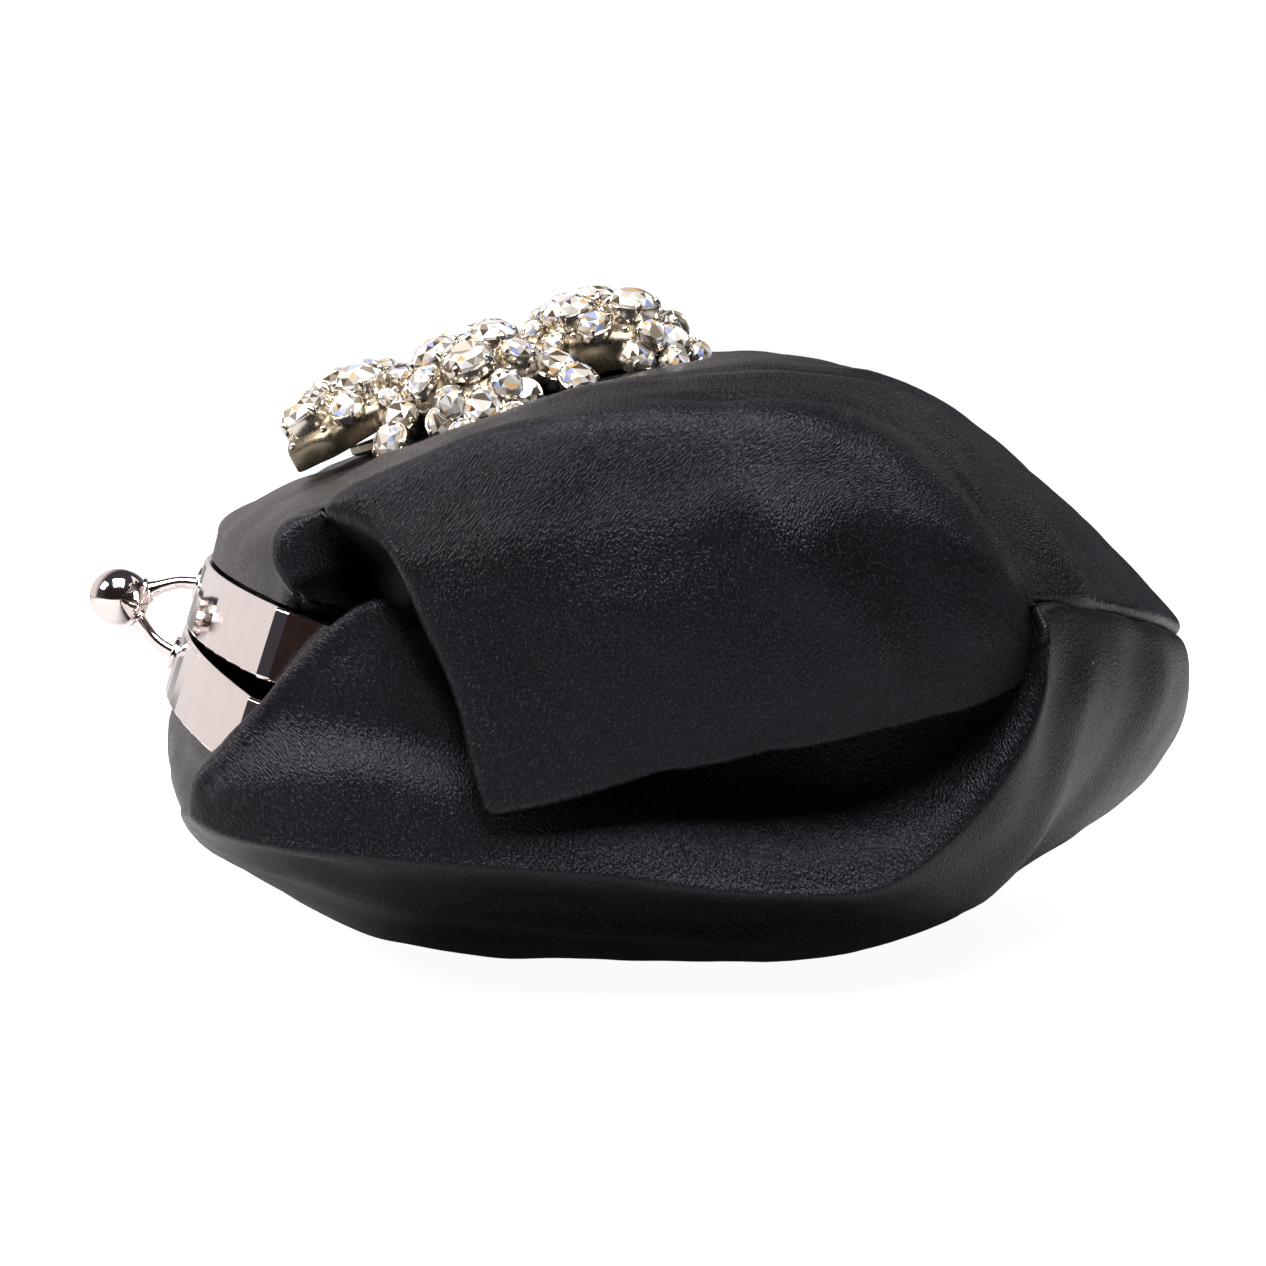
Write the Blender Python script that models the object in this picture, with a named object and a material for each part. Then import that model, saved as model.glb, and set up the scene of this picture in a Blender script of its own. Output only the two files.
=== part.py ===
"""Satin evening bag with a polished kiss-lock frame and a stone-set ornament, lying on its back.

The bag lies with its front panel up. X runs along the frame, Y from the frame to the bag's bottom, Z up.
The origin is the middle of the flat patch that the back panel rests on. Units are metres.
"""

import math

import bmesh
import bpy
from mathutils import Matrix, Vector

MM = 0.001
GAP = 0.3 * MM  # air between pieces that touch

# ---------------------------------------------------------------- driving dimensions
# Frame: two polished channels that meet face to face, each an arched bar with two legs.
FRAME_HALF_LENGTH = 70.0 * MM
FRAME_ARCH_RADIUS = 200.0 * MM
FRAME_LEG_LENGTH = 22.0 * MM  # from the corner of the bar down to the hinge axis
FRAME_TILT = math.radians(17.5)  # how far the frame's mouth is turned up
FRAME_CROWN = Vector((0.0, -60.2 * MM, 40.1 * MM))  # top of the arch, between the two channels
CHANNEL_WIDTH = 9.0 * MM
CHANNEL_DEPTH = 6.0 * MM
CHANNEL_WALL = 0.9 * MM
CHANNEL_EDGE = 0.35 * MM  # chamfer along the channel's outer edges
CORNER_CHAMFER = 1.2 * MM  # flat across the corner between bar and leg
MITRE_LAND = 0.1 * MM  # what is left of that flat at the channel's full depth
CLOSED_GAP = 0.15 * MM  # each channel's distance from the closing plane at the crown
BOW = 1.1 * MM  # how much further apart the channels stand at their ends
ARCH_STEPS = 20

# Hinges at the legs' ends.
LUG_THICKNESS = 1.05 * MM
LUG_RADIUS = 3.8 * MM
LEG_STOP = 7.5 * MM  # the channel ends this far above the hinge axis
LUG_OVERLAP = 5.5 * MM  # how far a lug runs up inside its leg
PIN_RADIUS = 1.2 * MM
PIN_CLEARANCE = 0.08 * MM
PIN_HEAD_RADIUS = 2.3 * MM
PIN_HEAD_THICKNESS = 0.8 * MM

# Kiss-lock.
BALL_RADIUS = 3.85 * MM
BALL_HEIGHT = 9.6 * MM  # ball centre above the frame's crown
STEM_RADIUS = 0.85 * MM
STEM_FOOT = Vector((6.4, 4.6, 0.7)) * MM  # length, width and thickness of the riveted foot

# Soft parts.
SATIN_THICKNESS = 1.2 * MM
LINING_THICKNESS = 0.8 * MM
CORD_SIZE = Vector((3.2, 2.6)) * MM  # retaining cord in the channel: width and depth
CORD_AIR = 1.2 * MM  # room round the cord for the satin that it wedges
YOKE_ROWS = 3  # rows of the front net that belong to the gathered yoke
PANEL_STEPS = 3  # surface steps between two net points

# Ornament.
ORNAMENT_ROW = 3.57  # how many net rows from the frame its middle sits
ORNAMENT_BASE_RADIUS = 19.0 * MM
ORNAMENT_BASE_THICKNESS = 1.4 * MM
ORNAMENT_AIR = 0.6 * MM  # between its base and the satin
PETAL_COUNT = 6
PETAL_RING_RADIUS = 19.4 * MM
PETAL_SIZE = Vector((21.4, 16.6, 4.8)) * MM
PETAL_SLOPE = math.radians(13.0)
CENTRE_SIZE = Vector((15.0, 15.0, 6.0)) * MM
SETTING_WALL = 1.0 * MM
RIM_SHARE = 0.22  # of a setting's height that is its upright rim
DOME_SHARE = 0.97  # of a setting's radius that its dome springs from
STONE_RADIUS = 3.3 * MM
CENTRE_STONE_RADIUS = 4.6 * MM
POST_RADIUS = 1.2 * MM
POST_SPACING = 18.0 * MM
BACKING_SIZE = Vector((30.0, 12.0, 1.0)) * MM

# Inner pocket, laid on the back of the lining pouch.
POCKET_RINGS = slice(1, 4)
POCKET_REACH = 4  # sides of the pouch that it covers to each side of the middle
POCKET_AIR = 0.5 * MM

# ---------------------------------------------------------------- satin nets
# Each net is the satin's outer surface for the right half, in millimetres: rows run from the frame to
# the bag's bottom, points in a row from the middle outwards. The surface passes through the points.
# The front and back nets start with rows laid along the frame, at these distances from a channel's
# outer edge: into the bag, away from the channel, and how far they widen past the frame.
FRONT_MOUTH = [(0.8 * MM, 1.7 * MM, 0.96), (1.6 * MM, 5.3 * MM, 1.03)]
BACK_MOUTH = [(1.6 * MM, 1.1 * MM, 0.96), (1.9 * MM, 5.0 * MM, 1.02)]
MOUTH_SHARES = (0.0, 0.3, 0.59, 0.84, 1.0)  # where a mouth row's points lie along its half
FRONT_NET = [
    [(0, -46.3, 57.5), (22, -45.8, 57.5), (44, -43.5, 57.2), (64, -39.5, 56.4), (80, -38, 55.5)],
    [(0, -30, 63.6), (24, -29.5, 63.6), (48, -29, 63.2), (70, -28.5, 63), (85, -28, 64)],
    [(0, -11, 69.8), (25, -11, 70.2), (50, -11, 70), (72, -11, 69.3), (86, -11, 69)],
    [(0, 12, 75), (25, 12, 75.2), (50, 12, 74.6), (73, 12, 72.8), (86.5, 12, 70.6)],
    [(0, 31, 72.4), (25, 31, 72.4), (50, 30, 71.5), (72, 28.5, 69.8), (86, 25.5, 68.2)],
    [(0, 49.8, 60.7), (25, 49.3, 60.9), (48, 46, 61.6), (68, 40.5, 61.6), (84.5, 34.5, 61.5)],
    [(0, 63.5, 49.3), (25, 62.3, 50), (47, 58, 52), (66, 49, 53), (82, 39.5, 55)],
    [(0, 72.6, 39.5), (25, 71.4, 40.5), (47, 65.5, 43), (65, 54.5, 46), (79.5, 43, 48)],
]
BACK_NET = [
    [(0, -61.5, 20), (22, -61, 20), (44, -59.3, 20), (62, -57.6, 20.6), (77, -55.6, 22)],
    [(0, -57, 14.5), (24, -56.5, 14.5), (48, -54.8, 14.8), (68, -52.5, 16.8), (83, -50, 19.6)],
    [(0, -47, 4.5), (25, -47, 5), (50, -45.5, 8.5), (70, -43, 14), (87, -40, 18)],
    [(0, -36, 0), (25, -36, 0), (50, -36, 3.4), (72, -34, 11), (88.5, -30, 17)],
    [(0, -22, 0), (25, -22, 0), (50, -22, 0.8), (73, -20, 9), (89.5, -16, 16)],
    [(0, 0, 0), (25, 0, 0), (50, 0, 0), (73, 0, 6.8), (90, 3, 13.8)],
    [(0, 20, 0), (25, 20, 0), (50, 20, 0), (73, 20, 5.5), (89.5, 18, 12.6)],
    [(0, 35, 2.5), (25, 35, 2.5), (50, 35, 4), (71, 34, 8), (87.5, 31, 13.8)],
    [(0, 49, 9.5), (25, 48.5, 9.6), (48, 47.5, 11.5), (67, 45, 14.5), (84, 42, 19.5)],
    [(0, 62.5, 18), (24, 61.5, 18.5), (46, 58, 20.5), (64.5, 52.5, 23.5), (81.5, 45.5, 27)],
    [(0, 71.2, 27.5), (24, 70, 28), (46, 65, 30.5), (64.5, 56, 33.5), (80.3, 46.5, 36)],
    [(0, 73.7, 36.3), (25, 72.4, 37.4), (47, 66.3, 40), (65, 55.2, 43), (79.3, 43.6, 45)],
]
# Right side fold, which hangs from the front panel's side edge: rows from the frame to the bottom,
# points from the crease down to the free hem.
SIDE_FOLD_NET = [
    [(82.5, -37.5, 54), (86, -31.5, 51), (89, -27.5, 44), (90.5, -24, 34.5), (90, -20.2, 24.5)],
    [(85, -28, 61.5), (88.5, -22.5, 54), (91, -18, 44.5), (92, -14, 34.5), (91, -10.5, 26)],
    [(87.5, -14, 66), (91, -10.5, 57.5), (92.8, -7, 47.5), (93.2, -3.5, 37), (91.5, -0.5, 28.2)],
    [(88.5, 4, 67.8), (92.3, 6, 59.5), (94, 8, 49.5), (93.8, 9.5, 39), (91.7, 10.5, 29.9)],
    [(88.3, 19, 67.5), (92.3, 19.5, 59.5), (93.8, 20, 50), (93.2, 20.5, 40.5), (90.8, 21, 31.8)],
    [(87.5, 30.5, 63), (90.6, 30.5, 57.5), (91.8, 30.5, 50), (91, 30.5, 42), (88.5, 30.5, 34)],
    [(85.5, 38.5, 54.5), (87.5, 38.8, 50.5), (88.2, 39, 46), (87.6, 39, 41.5), (86, 39, 37)],
    [(82.6, 42.5, 49.5), (83.5, 42.8, 47.5), (83.9, 43, 45.5), (83.7, 43.2, 43.5), (83.2, 43.4, 41.5)],
]
# Right side gusset, which rises from the back panel's side edge behind the side fold.
GUSSET_NET = [
    [(78.5, -53.8, 23.6), (78, -53.2, 24.8), (77.5, -52, 27), (77, -50.3, 30)],
    [(83, -46.5, 21.5), (82, -45.3, 25.5), (80, -43.5, 31.5), (78, -41.5, 40)],
    [(86, -38.3, 20.3), (85, -37.5, 25.5), (82, -36, 34), (78.5, -34.5, 46)],
    [(87.6, -29, 19.3), (85.8, -28.5, 25), (81.5, -27.5, 34), (78, -26.5, 44)],
    [(88.6, -15, 18.3), (86, -14.5, 23.5), (81, -13.5, 32), (77.5, -12.5, 42)],
    [(89, 3.5, 16.3), (86.5, 3.8, 21), (81.3, 4, 29), (77.5, 4, 39)],
    [(88.6, 18, 15.2), (86, 18.5, 20), (81.3, 19, 28), (77.5, 19, 38)],
    [(86.6, 31, 16.3), (84.8, 31.8, 21), (81.3, 32.3, 28), (78, 32.5, 38)],
    [(83.2, 40.5, 22), (82.8, 41.3, 26), (81, 41.5, 32), (78.8, 40.5, 39)],
    [(80.9, 43.7, 29.5), (80.5, 43.9, 32), (79.6, 43.2, 36), (78.4, 41.5, 41)],
]
# Lining pouch: rings of centre (Y, Z), half-width, half-height and lean in degrees, from its mouth inwards.
LINING_RINGS = [
    (-19, 38, 60, 26, 25),
    (-4, 38, 70, 28, 13),
    (16, 38.5, 73, 31, 2),
    (36, 38.5, 67, 27, -5),
    (51, 39, 53, 18, -8),
    (59, 39.5, 36, 10, -8),
]
LINING_POLE = (63, 40)
LINING_ROUNDNESS = 2.3  # exponent of the rings' superellipse
LINING_SIDES = 36


# ---------------------------------------------------------------- scene and materials
def clear_scene():
    for obj in list(bpy.data.objects):
        bpy.data.objects.remove(obj)


def material(name, colour, roughness, metallic):
    made = bpy.data.materials.new(name)
    made.use_nodes = True
    shader = made.node_tree.nodes["Principled BSDF"]
    shader.inputs["Base Color"].default_value = (*colour, 1.0)
    shader.inputs["Roughness"].default_value = roughness
    shader.inputs["Metallic"].default_value = metallic
    return made


def make_materials():
    return {
        "satin": material("black_satin", (0.012, 0.011, 0.013), 0.5, 0.0),
        "lining": material("midnight_lining", (0.02, 0.022, 0.07), 0.55, 0.0),
        "nickel": material("polished_nickel", (0.78, 0.75, 0.72), 0.08, 1.0),
        "setting": material("cast_setting", (0.62, 0.57, 0.5), 0.2, 1.0),
        "crystal": material("cut_crystal", (0.9, 0.9, 0.92), 0.03, 0.0),
        "cord": material("paper_cord", (0.55, 0.48, 0.36), 0.9, 0.0),
        "steel": material("backing_steel", (0.5, 0.5, 0.5), 0.35, 1.0),
    }


def mesh_object(name, verts, faces, finish, parent=None, smooth=True):
    mesh = bpy.data.meshes.new(name)
    mesh.from_pydata([tuple(v) for v in verts], [], faces)
    mesh.validate()
    made = bpy.data.objects.new(name, mesh)
    bpy.context.scene.collection.objects.link(made)
    mesh.materials.append(finish)
    if smooth:
        mesh.shade_smooth()
        mesh.set_sharp_from_angle(angle=math.radians(35))
    made.parent = parent
    return made


def outward(obj):
    """Turns the object's faces to point out of its closed surface."""
    shape = bmesh.new()
    shape.from_mesh(obj.data)
    bmesh.ops.recalc_face_normals(shape, faces=shape.faces)
    if shape.calc_volume(signed=True) < 0:
        bmesh.ops.reverse_faces(shape, faces=shape.faces)
    shape.to_mesh(obj.data)
    shape.free()
    return obj


def join_shapes(target, others, operation):
    """Unites or cuts target with each of the other objects, which become hidden helpers."""
    for other in others:
        step = target.modifiers.new(other.name, "BOOLEAN")
        step.operation = operation
        step.object = other
        other.hide_render = True
        other.display_type = "WIRE"


# ---------------------------------------------------------------- smooth surfaces through nets
def through(before, start, end, after, t):
    """Point at t between start and end on the smooth curve through four points."""
    a = 2 * start
    b = end - before
    c = 2 * before - 5 * start + 4 * end - after
    d = 3 * start - before - 3 * end + after
    return 0.5 * (a + b * t + c * t * t + d * t * t * t)


def smooth_curve(points, steps):
    """The points with steps - 1 more between each two, on the smooth curve that passes through them."""
    first = 2 * points[0] - points[1]
    last = 2 * points[-1] - points[-2]
    padded = [first, *points, last]
    found = []
    for i in range(len(points) - 1):
        for k in range(steps):
            found.append(through(*padded[i : i + 4], k / steps))
    found.append(points[-1])
    return found


def surface(net, steps):
    """The net's grid made finer both ways, as rows of points."""
    rows = [smooth_curve(row, steps) for row in net]
    columns = [smooth_curve(list(column), steps) for column in zip(*rows)]
    return [list(row) for row in zip(*columns)]


def net_points(net):
    return [[Vector(point) * MM for point in row] for row in net]


def mouth_rows(mouth, side):
    """The net rows along a frame half; side is 1 for the front and -1 for the rear."""
    rows = []
    for depth, away, widen in mouth:
        row = []
        for share in MOUTH_SHARES:
            x = share * widen * FRAME_HALF_LENGTH
            under = min(x, FRAME_HALF_LENGTH)
            into = INTO_BAG * (arch_depth(under) + depth)
            out = TO_FRONT * side * (closing_offset(under) + CHANNEL_WIDTH + away)
            row.append(FRAME_CROWN + Vector((x, 0, 0)) + into + out)
        rows.append(row)
    return rows


def both_halves(rows):
    """Net rows from the left edge through the middle to the right edge."""
    whole = []
    for row in rows:
        mirrored = [Vector((-p.x, p.y, p.z)) for p in reversed(row[1:])]
        whole.append(mirrored + row)
    return whole


def front_rows():
    return mouth_rows(FRONT_MOUTH, 1) + net_points(FRONT_NET)


def other_side(net):
    return [[Vector((-p.x, p.y, p.z)) for p in row] for row in net]


def grid_normals(grid):
    rows, columns = len(grid), len(grid[0])
    normals = []
    for i in range(rows):
        line = []
        for j in range(columns):
            down = grid[min(i + 1, rows - 1)][j] - grid[max(i - 1, 0)][j]
            across = grid[i][min(j + 1, columns - 1)] - grid[i][max(j - 1, 0)]
            line.append(across.cross(down).normalized())
        normals.append(line)
    return normals


def sheet_solid(name, grid, thickness, inwards, finish, parent=None):
    """A closed sheet: the grid is its outer face, and inwards is a point on the side it thickens to."""
    rows, columns = len(grid), len(grid[0])
    normals = grid_normals(grid)
    middle = grid[rows // 2][columns // 2]
    side = 1 if normals[rows // 2][columns // 2].dot(inwards - middle) > 0 else -1
    verts = [grid[i][j] for i in range(rows) for j in range(columns)]
    verts += [
        grid[i][j] + side * thickness * normals[i][j] for i in range(rows) for j in range(columns)
    ]
    under = rows * columns
    faces = []
    for i in range(rows - 1):
        for j in range(columns - 1):
            a = i * columns + j
            b, c, d = a + 1, a + columns + 1, a + columns
            faces.append((a, b, c, d))
            faces.append((under + a, under + d, under + c, under + b))
    rim = [(0, j) for j in range(columns)]
    rim += [(i, columns - 1) for i in range(1, rows)]
    rim += [(rows - 1, j) for j in range(columns - 2, -1, -1)]
    rim += [(i, 0) for i in range(rows - 2, 0, -1)]
    ring = [i * columns + j for i, j in rim]
    for a, b in zip(ring, ring[1:] + ring[:1]):
        faces.append((b, a, under + a, under + b))
    return outward(mesh_object(name, verts, faces, finish, parent))


def above_table(grid):
    """The grid with whatever would dip below the resting face laid flat on it."""
    return [[Vector((p.x, p.y, max(p.z, 0.0))) for p in row] for row in grid]


# ---------------------------------------------------------------- frame geometry
# Frame pieces are built about the hinge axis: local Y runs into the bag, local Z towards its front.
ARCH_RISE = FRAME_ARCH_RADIUS - math.sqrt(FRAME_ARCH_RADIUS**2 - FRAME_HALF_LENGTH**2)
CROWN_TO_HINGE = ARCH_RISE + FRAME_LEG_LENGTH
INTO_BAG = Vector((0.0, math.cos(FRAME_TILT), -math.sin(FRAME_TILT)))
TO_FRONT = Vector((0.0, math.sin(FRAME_TILT), math.cos(FRAME_TILT)))
HINGE_POINT = FRAME_CROWN + INTO_BAG * CROWN_TO_HINGE


def frame_space():
    """The empty on the hinge axis that carries the frame's pieces."""
    empty = bpy.data.objects.new("frame_axis", None)
    bpy.context.scene.collection.objects.link(empty)
    empty.location = HINGE_POINT
    empty.rotation_euler = (-FRAME_TILT, 0.0, 0.0)
    return empty


def arch_depth(x):
    """How far below the crown the arched bar lies at x."""
    return FRAME_ARCH_RADIUS - math.sqrt(FRAME_ARCH_RADIUS**2 - x**2)


def arch_point(angle):
    """Point of the arched bar's outer line at an angle from its crown."""
    radius = FRAME_ARCH_RADIUS
    return Vector((radius * math.sin(angle), radius * (1 - math.cos(angle)) - CROWN_TO_HINGE))


def closing_offset(x):
    """Distance of a channel's mating edge from the closing plane at x."""
    return CLOSED_GAP + BOW * (x / FRAME_HALF_LENGTH) ** 2


def frame_path(stop):
    """Outer line of a frame half, from the left leg's end over the arch to the right leg's end.

    Each station is a point in x and y, and how far it moves outwards per unit of inset. The corners are
    chamfered on the outside and close to a mitre at the channel's full depth.
    """
    end = math.asin(FRAME_HALF_LENGTH / FRAME_ARCH_RADIUS)
    cut = end - CORNER_CHAMFER / FRAME_ARCH_RADIUS
    angles = [cut * (2 * k / ARCH_STEPS - 1) for k in range(1, ARCH_STEPS)]
    arch = [(arch_point(a), Vector((math.sin(a), -math.cos(a)))) for a in angles]
    corner = arch_point(end)
    along = Vector((math.cos(end), math.sin(end)))
    down = Vector((0.0, 1.0))
    inwards = [Vector((-along.y, along.x)), Vector((-1.0, 0.0))]
    mitre = (inwards[0] + inwards[1]) / (1 + inwards[0].dot(inwards[1]))
    closing = (CORNER_CHAMFER - MITRE_LAND) / CHANNEL_DEPTH
    right = [
        (corner - along * CORNER_CHAMFER, -mitre - along * closing),
        (corner + down * CORNER_CHAMFER, -mitre + down * closing),
        (Vector((FRAME_HALF_LENGTH, -stop)), Vector((1.0, 0.0))),
    ]
    left = [(Vector((-p.x, p.y)), Vector((-n.x, n.y))) for p, n in reversed(right)]
    return left + arch + right


def sweep(name, stations, profile, side, finish, parent):
    """Sweeps a closed profile of (inset, distance from the mating edge) along the stations.

    side is 1 for the front half and -1 for the rear half.
    """
    count = len(profile)
    verts, faces = [], []
    for point, normal in stations:
        base = closing_offset(point.x)
        for inset, offset in profile:
            place = point - normal * inset
            verts.append((place.x, place.y, side * (base + offset)))
    for i in range(len(stations) - 1):
        for k in range(count):
            a = i * count + k
            b = i * count + (k + 1) % count
            faces.append((a, b, b + count, a + count))
    last = (len(stations) - 1) * count
    faces.append(tuple(reversed(range(count))))
    faces.append(tuple(last + k for k in range(count)))
    return outward(mesh_object(name, verts, faces, finish, parent))


def channel_profile():
    w, d, t, c = CHANNEL_WIDTH, CHANNEL_DEPTH, CHANNEL_WALL, CHANNEL_EDGE
    return [(c, 0), (0, c), (0, w - c), (c, w), (d, w), (d, w - t), (t, w - t), (t, t), (d, t), (d, 0)]


def lug_outline(side):
    """Outline of a hinge lug in local Y and Z: a neck from the leg that narrows to a round eye."""
    near = side * (closing_offset(FRAME_HALF_LENGTH) + CHANNEL_WALL + GAP)
    far = side * (closing_offset(FRAME_HALF_LENGTH) + CHANNEL_WIDTH - CHANNEL_WALL - GAP)
    top = -LEG_STOP - LUG_OVERLAP
    eye = []
    steps = 14
    start = math.radians(112) if side > 0 else math.radians(250)
    for k in range(steps + 1):
        angle = start - side * math.radians(208) * k / steps
        eye.append((LUG_RADIUS * math.cos(angle), LUG_RADIUS * math.sin(angle)))
    return [(top, near), (top, far), (-LEG_STOP - GAP, far), *eye, (-LEG_STOP - GAP, near)]


def prism_x(name, outline, x_low, x_high, finish, parent):
    """A flat plate: an outline in local Y and Z, from x_low to x_high."""
    count = len(outline)
    verts = [(x, y, z) for x in (x_low, x_high) for y, z in outline]
    faces = [tuple(range(count)), tuple(reversed(range(count, 2 * count)))]
    for k in range(count):
        n = (k + 1) % count
        faces.append((k, n, n + count, k + count))
    return outward(mesh_object(name, verts, faces, finish, parent))


def box(name, low, high, finish, parent=None):
    corners = [(x, y, z) for x in (low[0], high[0]) for y in (low[1], high[1]) for z in (low[2], high[2])]
    faces = [(0, 1, 3, 2), (4, 6, 7, 5), (0, 4, 5, 1), (2, 3, 7, 6), (0, 2, 6, 4), (1, 5, 7, 3)]
    return outward(mesh_object(name, corners, faces, finish, parent, smooth=False))


def turned(name, profile, sides, finish, parent=None):
    """A solid turned about its local Z: the profile is (radius, height) from bottom to top, on the axis at
    both ends."""
    inner = profile[1:-1]
    verts = [(0.0, 0.0, profile[0][1])]
    for radius, height in inner:
        for k in range(sides):
            angle = 2 * math.pi * k / sides
            verts.append((radius * math.cos(angle), radius * math.sin(angle), height))
    verts.append((0.0, 0.0, profile[-1][1]))
    top = len(verts) - 1
    faces = []
    for k in range(sides):
        n = (k + 1) % sides
        faces.append((0, 1 + n, 1 + k))
        for i in range(len(inner) - 1):
            a = 1 + i * sides
            faces.append((a + k, a + n, a + n + sides, a + k + sides))
        a = 1 + (len(inner) - 1) * sides
        faces.append((a + k, a + n, top))
    return outward(mesh_object(name, verts, faces, finish, parent))


def lug_span(side):
    """Low and high |x| of a lug: the rear lug lies in the leg's web, the front lug just inside it."""
    rear_low = FRAME_HALF_LENGTH - 0.05 * MM - LUG_THICKNESS
    if side < 0:
        return rear_low, rear_low + LUG_THICKNESS
    return rear_low - GAP - LUG_THICKNESS, rear_low - GAP


def add_lugs(half, side, finish, space):
    """Joins the two hinge lugs to a frame half and drills them for the pins."""
    for x_sign, label in ((-1, "left"), (1, "right")):
        low, high = lug_span(side)
        spans = sorted((x_sign * low, x_sign * high))
        lug = prism_x(f"{half.name}_lug_{label}", lug_outline(side), *spans, finish, space)
        helpers = [lug]
        if side > 0:
            low_z = closing_offset(FRAME_HALF_LENGTH) + CHANNEL_WALL + GAP
            high_z = closing_offset(FRAME_HALF_LENGTH) + CHANNEL_WIDTH - CHANNEL_WALL - GAP
            pad_x = sorted((x_sign * (low + 0.2 * MM), x_sign * (FRAME_HALF_LENGTH - 0.4 * MM)))
            pad_low = (pad_x[0], -LEG_STOP - LUG_OVERLAP + 0.2 * MM, low_z + 0.2 * MM)
            pad_high = (pad_x[1], -LEG_STOP - 0.6 * MM, high_z - 0.2 * MM)
            helpers.append(box(f"{half.name}_pad_{label}", pad_low, pad_high, finish, space))
        join_shapes(half, helpers, "UNION")
        drill = turned(f"{half.name}_drill_{label}", drill_profile(), 16, finish, space)
        drill.rotation_euler = (0.0, math.pi / 2, 0.0)
        drill.location = (x_sign * FRAME_HALF_LENGTH, 0.0, 0.0)
        join_shapes(half, [drill], "DIFFERENCE")


def drill_profile():
    radius, reach = PIN_RADIUS + PIN_CLEARANCE, 8.0 * MM
    return [(0, -reach), (radius, -reach), (radius, reach), (0, reach)]


def make_frame_half(name, side, finish, space):
    half = sweep(name, frame_path(LEG_STOP), channel_profile(), side, finish, space)
    add_lugs(half, side, finish, space)
    return half


def make_retaining_cord(name, side, finish, space):
    """The cord that wedges the satin's and the lining's edges in the channel."""
    width, depth = CORD_SIZE
    start = (CHANNEL_WIDTH - width) / 2
    near = CHANNEL_WALL + CORD_AIR
    far = near + depth
    profile = [(near, start), (near, start + width), (far, start + width), (far, start)]
    stop = LEG_STOP + LUG_OVERLAP + CORD_AIR
    return sweep(name, frame_path(stop), profile, side, finish, space)


def make_hinge_pin(name, x_sign, finish, space):
    """A rivet through both lugs, with a head at each end."""
    inner = lug_span(1)[0] - GAP
    outer = FRAME_HALF_LENGTH + GAP
    head, flange = PIN_HEAD_THICKNESS, PIN_HEAD_RADIUS
    profile = [
        (0, inner - head),
        (flange * 0.8, inner - head),
        (flange, inner - head * 0.4),
        (flange, inner),
        (PIN_RADIUS, inner),
        (PIN_RADIUS, outer),
        (flange, outer),
        (flange, outer + head * 0.4),
        (flange * 0.8, outer + head),
        (0, outer + head),
    ]
    pin = turned(name, profile, 16, finish, space)
    pin.rotation_euler = (0.0, x_sign * math.pi / 2, 0.0)
    return pin


# ---------------------------------------------------------------- kiss-lock
def ball_centre(side):
    """Centre of a clasp ball in frame space. Each ball leans just past the closing plane."""
    x = -side * (BALL_RADIUS + GAP / 2)
    return Vector((x, -CROWN_TO_HINGE - BALL_HEIGHT, -side * 0.3 * MM))


def make_ball(name, side, finish, space):
    steps = 10
    arcs = [math.pi * k / steps for k in range(steps + 1)]
    profile = [(BALL_RADIUS * math.sin(a), -BALL_RADIUS * math.cos(a)) for a in arcs]
    profile[0], profile[-1] = (0, -BALL_RADIUS), (0, BALL_RADIUS)
    ball = turned(name, profile, 20, finish, space)
    ball.location = ball_centre(side)
    return ball


def make_stem(name, side, finish, space):
    """A bent stem from a foot on the channel up to just under its ball."""
    centre = ball_centre(side)
    x = centre.x
    crown = arch_depth(x) - CROWN_TO_HINGE
    root = Vector((x, crown - GAP - STEM_FOOT.z, side * (closing_offset(x) + CHANNEL_WIDTH * 0.5)))
    bend = Vector((x, crown - 0.33 * BALL_HEIGHT, root.z * 0.82))
    direction = (centre - bend).normalized()
    tip = centre - direction * (BALL_RADIUS + GAP)
    route = smooth_curve([root + Vector((0, 0.4 * MM, 0)), bend, tip], 5)
    verts, faces, sides = [], [], 10
    for i, point in enumerate(route):
        ahead = route[min(i + 1, len(route) - 1)] - route[max(i - 1, 0)]
        ahead.normalize()
        across = Vector((1.0, 0.0, 0.0))
        up = ahead.cross(across).normalized()
        flare = 1.0 + 0.5 * (i / (len(route) - 1)) ** 4
        for k in range(sides):
            angle = 2 * math.pi * k / sides
            verts.append(point + STEM_RADIUS * flare * (math.cos(angle) * across + math.sin(angle) * up))
    for i in range(len(route) - 1):
        for k in range(sides):
            n = (k + 1) % sides
            faces.append((i * sides + k, i * sides + n, (i + 1) * sides + n, (i + 1) * sides + k))
    last = (len(route) - 1) * sides
    faces.append(tuple(reversed(range(sides))))
    faces.append(tuple(last + k for k in range(sides)))
    stem = outward(mesh_object(name, verts, faces, finish, space))
    foot = turned(f"{name}_foot", foot_profile(), 16, finish, space)
    foot.scale = (STEM_FOOT.x / STEM_FOOT.y, 1.0, 1.0)
    foot.rotation_euler = (math.pi / 2, 0.0, 0.0)
    foot.location = (x, crown - GAP, root.z)
    join_shapes(stem, [foot], "UNION")
    return stem


def foot_profile():
    radius, thick = STEM_FOOT.y / 2, STEM_FOOT.z
    return [(0, 0), (radius, 0), (radius, thick * 0.5), (radius * 0.85, thick), (0, thick)]


# ---------------------------------------------------------------- soft parts
def bag_heart():
    """A point in the middle of the bag, which every panel thickens towards."""
    return Vector((0.0, 5.0 * MM, 38.0 * MM))


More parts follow.
